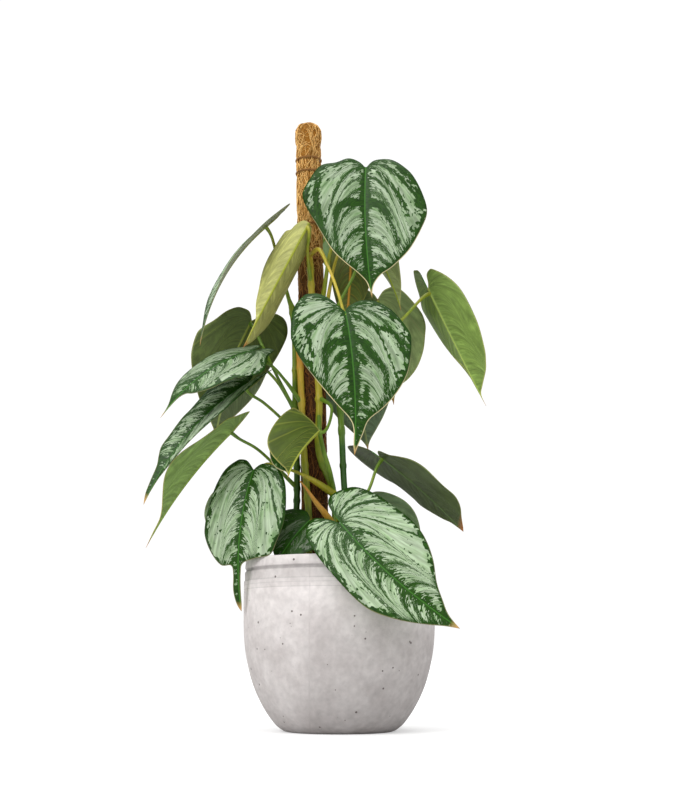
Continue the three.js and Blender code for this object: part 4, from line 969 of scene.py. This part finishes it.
def nearest_vein(tree, flow, space):
    """The number of the nearest side vein, and how far off it is in mm."""
    order = add(tree, "ShaderNodeMath", [flow, space], operation="DIVIDE")
    number = add(tree, "ShaderNodeMath", [order], operation="ROUND")
    aside = add(tree, "ShaderNodeMath", [order, number], operation="SUBTRACT")
    apart = add(tree, "ShaderNodeMath", [aside], operation="ABSOLUTE")
    return number, add(tree, "ShaderNodeMath", [apart, space], operation="MULTIPLY")


def fleck_noise(tree, where, across, along, detail=3.0, roughness=0.5, lanes=1):
    """Flecks of a size in mm across and along the side veins, other ones on each leaf."""
    laid = add(tree, "ShaderNodeMapping", {"Vector": where, "Scale": (1 / across, 1 / along, lanes)})
    return add(tree, "ShaderNodeTexNoise",
               {"Vector": laid, "Scale": 1.0, "Detail": detail, "Roughness": roughness})


def drawn_over(tree, ground, *layers):
    """A colour with others drawn over it, each given by how much of it shows and its sRGB hex."""
    for share, colour in layers:
        mixed = {"Factor": share, 6: ground, 7: linear(colour)}
        ground = add(tree, "ShaderNodeMix", mixed, data_type="RGBA")
    return ground


# Upper skin: a smooth satin cuticle. The silver is a layer of air under it, broken to plain dark green along
# the midrib, beside the side veins and at the margin. Lengths in this material are in mm on the blade.
upper_skin, tree, skin = new_finish("variegated leaf cuticle")
where, (flow, run, lane) = blade_mark(tree, "vein")
_, (rib, rim, along) = blade_mark(tree, "place")
_, (bold, cream, space) = blade_mark(tree, "habit")
_, (drawn, silver_lighting, edging) = blade_mark(tree, "mark")
nearest, vein_gap = nearest_vein(tree, flow, space)
streak = fleck_noise(tree, where, 6, 22)
fray = fleck_noise(tree, where, 1.7, 5, roughness=0.6)
fleck = fleck_noise(tree, where, 2.3, 5.5, detail=2.0, lanes=2)
stripe = fleck_noise(tree, where, 1.6, 30, detail=2.0)

# Each side vein has a strength of its own, which says how wide its dark mark is.
which = add(tree, "ShaderNodeCombineXYZ", [nearest, lane])
strength = add(tree, "ShaderNodeTexWhiteNoise", {"Vector": which}, noise_dimensions="3D")
strong = add(tree, "ShaderNodeMapRange", [strength, 0.3, 1.0, 0.15, 4.2])
tapered = add(tree, "ShaderNodeMapRange", [run, 0, 60.0, 1.25, 0.4])
rough = add(tree, "ShaderNodeMapRange", [fray, 0.34, 0.66, 0.1, 1.9])
vein_width = strong
for factor in (tapered, bold, rough):
    vein_width = add(tree, "ShaderNodeMath", [vein_width, factor], operation="MULTIPLY")
rib_width = add(tree, "ShaderNodeMapRange", [streak, 0.35, 0.65, 1.0, 6.0])
for factor in (bold, rough):
    rib_width = add(tree, "ShaderNodeMath", [rib_width, factor], operation="MULTIPLY")
rim_swell = add(tree, "ShaderNodeMapRange", [fleck, 0.36, 0.68, 1.2, 13.0])
rim_width = add(tree, "ShaderNodeMath", [rim_swell, edging], operation="MULTIPLY")

# How deep a place lies in the deepest of its dark marks: by a vein, by the midrib, at the rim, a fleck, or
# one of the broad marks, whose edges are torn.
marked = add(tree, "ShaderNodeMapRange", [fleck, 0.61, 0.67, -2.0, 0.6])
for width, gap in ((vein_width, vein_gap), (rib_width, rib), (rim_width, rim)):
    depth = add(tree, "ShaderNodeMath", [width, gap], operation="SUBTRACT")
    marked = add(tree, "ShaderNodeMath", [marked, depth], operation="MAXIMUM")
torn = add(tree, "ShaderNodeMapRange", [fray, 0.3, 0.7, -1.6, 3.6])
broad = add(tree, "ShaderNodeMath", [drawn, torn], operation="ADD")
marked = add(tree, "ShaderNodeMath", [marked, broad], operation="MAXIMUM")
green = add(tree, "ShaderNodeMapRange", [marked, -0.25, 0.3], interpolation_type="SMOOTHSTEP")

silver = add(tree, "ShaderNodeValToRGB", [streak])
colour_stops(silver, {0.3: "#6c8a5b", 0.42: "#8fa680", 0.6: "#a2b396"})
deep = add(tree, "ShaderNodeValToRGB", [fray])
colour_stops(deep, {0.3: "#102e03", 0.75: "#2a5509"})
# The silver's brightness is streaks along the side veins, partly its own tone and partly painted highlight,
# times each leaf's painted light: brighter on leaves that catch highlights from above, darker on leaf_17 in
# shade.
striped = add(tree, "ShaderNodeMapRange", [stripe, 0.34, 0.62, 0.64, 1.14])
painted_light_on_silver = add(tree, "ShaderNodeMath", [silver_lighting, striped], operation="MULTIPLY")
shine = add(tree, "ShaderNodeVectorMath", {0: silver, "Scale": painted_light_on_silver}, operation="SCALE")
variegated = add(tree, "ShaderNodeMix", {"Factor": green, 6: shine, 7: deep}, data_type="RGBA")
rib_line = add(tree, "ShaderNodeMapRange", [rib, 0.9, 0.3])
edge = add(tree, "ShaderNodeMapRange", [rim, 1.0, 0.5])
lower_half = add(tree, "ShaderNodeMapRange", [along, 0.3, 0.6])
for factor in (lower_half, cream):
    edge = add(tree, "ShaderNodeMath", [edge, factor], operation="MULTIPLY")
dry_tip = add(tree, "ShaderNodeMapRange", [along, 0.93, 0.98])
colour = drawn_over(tree, variegated, (rib_line, "#3a7220"), (edge, "#e6d9a6"), (dry_tip, "#c29a5e"))
gloss = add(tree, "ShaderNodeMapRange", [green, 0, 1, 0.5, 0.4])
dented = add(tree, "ShaderNodeMath", [fray, 0.4, streak], operation="MULTIPLY_ADD")
bump = add(tree, "ShaderNodeBump", {"Height": dented, "Strength": 0.35, "Distance": 0.0012})
feed(tree, skin, {"Base Color": colour, "Normal": bump, "Roughness": gloss, "Specular IOR Level": 0.2})

# Underside: paler and duller than the upper skin, each leaf its own green, with the raised midrib and side
# veins in a paler yellow-green and the silver patches showing through as faint bands.
under_skin, tree, skin = new_finish("leaf underside")
where, (flow, _, _) = blade_mark(tree, "vein")
_, (rib, rim, along) = blade_mark(tree, "place")
_, (_, cream, space) = blade_mark(tree, "habit")
_, vein_gap = nearest_vein(tree, flow, space)
own_green = add(tree, "ShaderNodeAttribute", attribute_name="under_colour")
own_vein = add(tree, "ShaderNodeAttribute", attribute_name="vein_colour")
streak = fleck_noise(tree, where, 4, 26, detail=4.0)
fine = fleck_noise(tree, where, 0.8, 9, detail=2.0)
mottle = fleck_noise(tree, where, 5, 9, roughness=0.6)
banded = add(tree, "ShaderNodeMapRange", [streak, 0.3, 0.7, 0.72, 1.22])
lined = add(tree, "ShaderNodeMapRange", [fine, 0.3, 0.7, 0.9, 1.1])
between = add(tree, "ShaderNodeMapRange", [vein_gap, 1.2, 4.5])
patchy = add(tree, "ShaderNodeMapRange", [mottle, 0.42, 0.6])
through = add(tree, "ShaderNodeMath", [between, patchy], operation="MULTIPLY")
faint = add(tree, "ShaderNodeMapRange", [through, 0, 1, 0.88, 1.15])
toned = own_green.outputs["Color"]
for factor in (banded, lined, faint):
    toned = add(tree, "ShaderNodeVectorMath", {0: toned, "Scale": factor}, operation="SCALE")
vein_line = add(tree, "ShaderNodeMapRange", [vein_gap, 0.6, 0.1, 0, 0.28])
rib_line = add(tree, "ShaderNodeMapRange", [rib, 1.5, 0.7])
for line in (vein_line, rib_line):
    toned = add(tree, "ShaderNodeMix", {"Factor": line, 6: toned, 7: own_vein}, data_type="RGBA")
rim_line = add(tree, "ShaderNodeMapRange", [rim, 1.4, 0.4])
edge = add(tree, "ShaderNodeMath", [rim_line, cream], operation="MULTIPLY")
dry_tip = add(tree, "ShaderNodeMapRange", [along, 0.92, 0.98])
colour = drawn_over(tree, toned, (edge, "#b9b25a"), (dry_tip, "#b0703a"))
dented = add(tree, "ShaderNodeMath", [fine, 0.5, streak], operation="MULTIPLY_ADD")
bump = add(tree, "ShaderNodeBump", {"Height": dented, "Strength": 0.4, "Distance": 0.001})
feed(tree, skin, {"Base Color": colour, "Normal": bump, "Roughness": 0.5, "Specular IOR Level": 0.35})

for number, (name, leaf) in enumerate(LEAVES.items(), 1):
    blade_name = name.replace("leaf", "blade")
    blade = shown(blade_name, blade_mesh(blade_name, leaf, number))
    blade.data.materials.append(upper_skin)
    blade.data.materials.append(under_skin)
    fixed(blade, name)


# The stems and petioles: four soft juicy stems climb the pole, swollen at each node, and every leaf hangs
# from a slender petiole that is sheathed at its foot and thicker again just under the blade. In mm.
STEMS = {
    "stem_1": dict(radius=3.4, soil=(-30, -28), climb=[(205, -18), (285, -33), (370, -42)],
                   tip=(-43, -14, 398), ripe=0.75),
    "stem_2": dict(radius=3.4, soil=(-6, -26), climb=[(232, 52, 25), (275, 18), (330, 22), (430, 4)],
                   tip=(-31, -17, 484), ripe=0.6),
    "stem_3": dict(radius=3.2, soil=(14, -12), climb=[(240, 68, 33), (320, 68, 30), (410, 60)],
                   tip=(-18, -12, 446), ripe=0.15),
    "stem_4": dict(radius=3.2, soil=(-48, 8), climb=[(230, -95), (330, -95), (410, -85)], tip=(-52, 2, 440),
                   ripe=0.25),
}
STEM_ROOT_Z = 100
STEM_UPRIGHT = 149  # the height to which a stem stands straight
STEM_OFF_POLE = 1.8
PETIOLE_RADIUS = 1.55
PETIOLE_BEND = 5
PETIOLE_AT = 0.03
PETIOLE_SUNK = 0.6  # share of the midrib's depth that its end reaches into


def beside_pole(z, azimuth, distance):
    """A point at a height, an azimuth in degrees from the front and a distance from the pole's axis."""
    turn = math.radians(azimuth)
    axis = POLE_FOOT + (POLE_TOP - POLE_FOOT) * (z - POLE_FOOT[2]) / (POLE_TOP[2] - POLE_FOOT[2])
    return axis + np.array([math.sin(turn) * distance, -math.cos(turn) * distance, 0])


def route(points, step=2.0):
    """Evenly spaced points along a centripetal Catmull-Rom curve through the given points."""
    spots = [np.array(p, float) for p in points]
    padded = [2 * spots[0] - spots[1], *spots, 2 * spots[-1] - spots[-2]]
    line = []
    for i in range(len(spots) - 1):
        p0, p1, p2, p3 = padded[i:i + 4]
        d1 = max(np.linalg.norm(p2 - p1) ** 0.5, 1e-4)
        d0 = np.linalg.norm(p1 - p0) ** 0.5 or d1
        d2 = np.linalg.norm(p3 - p2) ** 0.5 or d1
        t1 = ((p1 - p0) / d0 - (p2 - p0) / (d0 + d1) + (p2 - p1) / d1) * d1
        t2 = ((p2 - p1) / d1 - (p3 - p1) / (d1 + d2) + (p3 - p2) / d2) * d1
        square, cube = -3 * p1 + 3 * p2 - 2 * t1 - t2, 2 * p1 - 2 * p2 + t1 + t2
        line += [p1 + t1 * t + square * t * t + cube * t ** 3 for t in np.arange(40) / 40]
    line = np.array([*line, spots[-1]])
    walked = np.concatenate([[0], np.cumsum(np.linalg.norm(np.diff(line, axis=0), axis=1))])
    even = np.linspace(0, walked[-1], max(3, int(walked[-1] / step)))
    return np.stack([np.interp(even, walked, line[:, k]) for k in range(3)], axis=1)


def stem_route(stem):
    x, y = stem["soil"]
    close = POLE_RADIUS + stem["radius"] + STEM_OFF_POLE
    climb = [beside_pole(*spot) if len(spot) == 3 else beside_pole(*spot, close) for spot in stem["climb"]]
    return route([(x, y, STEM_ROOT_Z), (x, y, STEM_UPRIGHT), *climb, stem["tip"]])


def petiole_route(leaf):
    stem = stem_route(STEMS[f"stem_{leaf['stem']}"])
    root = stem[np.argmax(stem[:, 2] >= leaf["height"])]
    via = [np.array(p, float) for p in leaf["via"]]
    point, normal, _ = midrib_at(leaf, PETIOLE_AT)
    end = point - normal * (BLADE_THICKNESS / 2 + RIB_DEPTH * PETIOLE_SUNK)
    toward = unit((via[-1] if via else root) - end)
    neck = end - normal * PETIOLE_BEND + toward * PETIOLE_BEND
    return route([root, *via, neck, end])


tree, given = growing("tube on a route", "Routes", {"Sides": 14})
lines = add(tree, "GeometryNodeMeshToCurve", {"Mesh": given["Routes"]})
girth = add(tree, "GeometryNodeInputNamedAttribute", {"Name": "girth"}, data_type="FLOAT")
ring = add(tree, "GeometryNodeCurvePrimitiveCircle", {"Resolution": given["Sides"], "Radius": 1.0})
tubes = add(tree, "GeometryNodeCurveToMesh",
            {"Curve": lines, "Profile Curve": ring, "Scale": girth, "Fill Caps": True})
smooth = add(tree, "GeometryNodeSetShadeSmooth", {"Geometry": tubes})
finished(tree, smooth, given["Finish"])
tubing = tree

# Living stem: smooth, juicy and a little glossy, from deep green through yellow-green to the warm yellow of a
# young shoot, with faint lengthwise streaks and pale specks.
STEM_STREAKS = (500, 500, 40)  # their repeats to a metre, across and along
STEM_PATCH = 25
living_stem, tree, skin = new_finish("living stem")
where = add(tree, "ShaderNodeTexCoord").outputs["Object"]
along = add(tree, "ShaderNodeMapping", {"Vector": where, "Scale": STEM_STREAKS})
streak = add(tree, "ShaderNodeTexNoise", {"Vector": along, "Scale": 1.0, "Detail": 3.0})
patch = add(tree, "ShaderNodeTexNoise", {"Vector": where, "Scale": 1 / (STEM_PATCH * MM), "Detail": 2.0})
ripe = add(tree, "ShaderNodeAttribute", attribute_name="ripe")
shift = add(tree, "ShaderNodeMapRange", [patch, 0.3, 0.7, -0.12, 0.12])
ripeness = add(tree, "ShaderNodeMath", [ripe.outputs["Fac"], shift], operation="ADD")
tone = add(tree, "ShaderNodeValToRGB", [ripeness])
colour_stops(tone, {0: "#33601a", 0.35: "#6f9020", 0.65: "#b0a92c", 0.85: "#d6b840", 1: "#d99a3a"})
varied = add(tree, "ShaderNodeMapRange", [streak, 0.3, 0.7, 0.85, 1.12])
colour = add(tree, "ShaderNodeVectorMath", {0: tone, "Scale": varied}, operation="SCALE")
bump = add(tree, "ShaderNodeBump", {"Height": streak, "Strength": 0.3, "Distance": 0.0008})
feed(tree, skin, {"Base Color": colour, "Normal": bump, "Roughness": 0.42})

NODE_GAP = 34  # between a stem's nodes
NODE_SWELL, NODE_REACH = 0.22, 2.2  # how much thicker a node is, and over how many mm
BUD = 12  # the length at its tip that a stem tapers over
NECK_SWELL, NECK_SHARE = 0.3, 0.12  # how much thicker a petiole is at its blade, and over what share of it
SHEATH_SHARE = 0.4  # the share of a petiole that its sheath takes
# A dry sheath and a leafless stalk at the second stem's lower nodes: route, radius at both ends, ripeness.
OFFSHOOTS = {"stem_2": [
    ([(-6, -17, 200), (-13, -24, 210), (-23, -28, 222), (-33, -30, 236), (-39, -31, 243)], (4.2, 0.7), 0.98),
    ([(-6, -12, 238), (-10, -23, 255), (-16, -27, 275), (-20, -24, 295), (-21, -14, 312)], (2.6, 2.0), 0.3),
]}
RIPER_ABOVE, RIPER_BY = (230, 340), (-0.25, 0.15)  # a stem turns from green to yellow between these heights
for name, stem in STEMS.items():
    own = [leaf for leaf in LEAVES.values() if f"stem_{leaf['stem']}" == name]
    line = stem_route(stem)
    knots = [leaf["height"] for leaf in own] + list(np.arange(160, line[-1][2], NODE_GAP))
    swell = sum(NODE_SWELL * np.exp(-((line[:, 2] - knot) / NODE_REACH) ** 2) for knot in knots)
    bud = np.sqrt(np.clip(np.linspace(len(line) * 2, 0, len(line)) / BUD, 0.02, 1))
    ripening = stem["ripe"] + np.interp(line[:, 2], RIPER_ABOVE, RIPER_BY)
    routes = [(line, stem["radius"] * (1 + swell) * bud, ripening)]
    for leaf in own:
        line = petiole_route(leaf)
        share = np.linspace(0, 1, len(line))
        sheath = leaf["sheath"] * np.clip(1 - share / SHEATH_SHARE, 0, 1) ** 0.7
        neck = NECK_SWELL * np.clip((share - 1 + NECK_SHARE) / 0.1, 0, 1)
        routes.append((line, PETIOLE_RADIUS * (1 + sheath + neck), np.full(len(line), leaf["ripe"])))
    for spots, ends, ripe in OFFSHOOTS.get(name, []):
        line = route(spots)
        routes.append((line, np.linspace(*ends, len(line)), np.full(len(line), ripe)))
    corners, edges, girths, ripes = [], [], [], []
    for line, girth, ripe in routes:
        start = len(corners)
        corners += (line * MM).tolist()
        edges += [(start + i, start + i + 1) for i in range(len(line) - 1)]
        girths += (girth * MM).tolist()
        ripes += ripe.tolist()
    wires = bpy.data.meshes.new(name + "_routes")
    wires.from_pydata(corners, edges, [])
    for mark, values in (("girth", girths), ("ripe", ripes)):
        wires.attributes.new(mark, "FLOAT", "POINT").data.foreach_set("value", values)
    shoot = grown(name.replace("stem", "shoot"), wires, tubing, living_stem)
    fixed(shoot, name)


low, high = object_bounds()
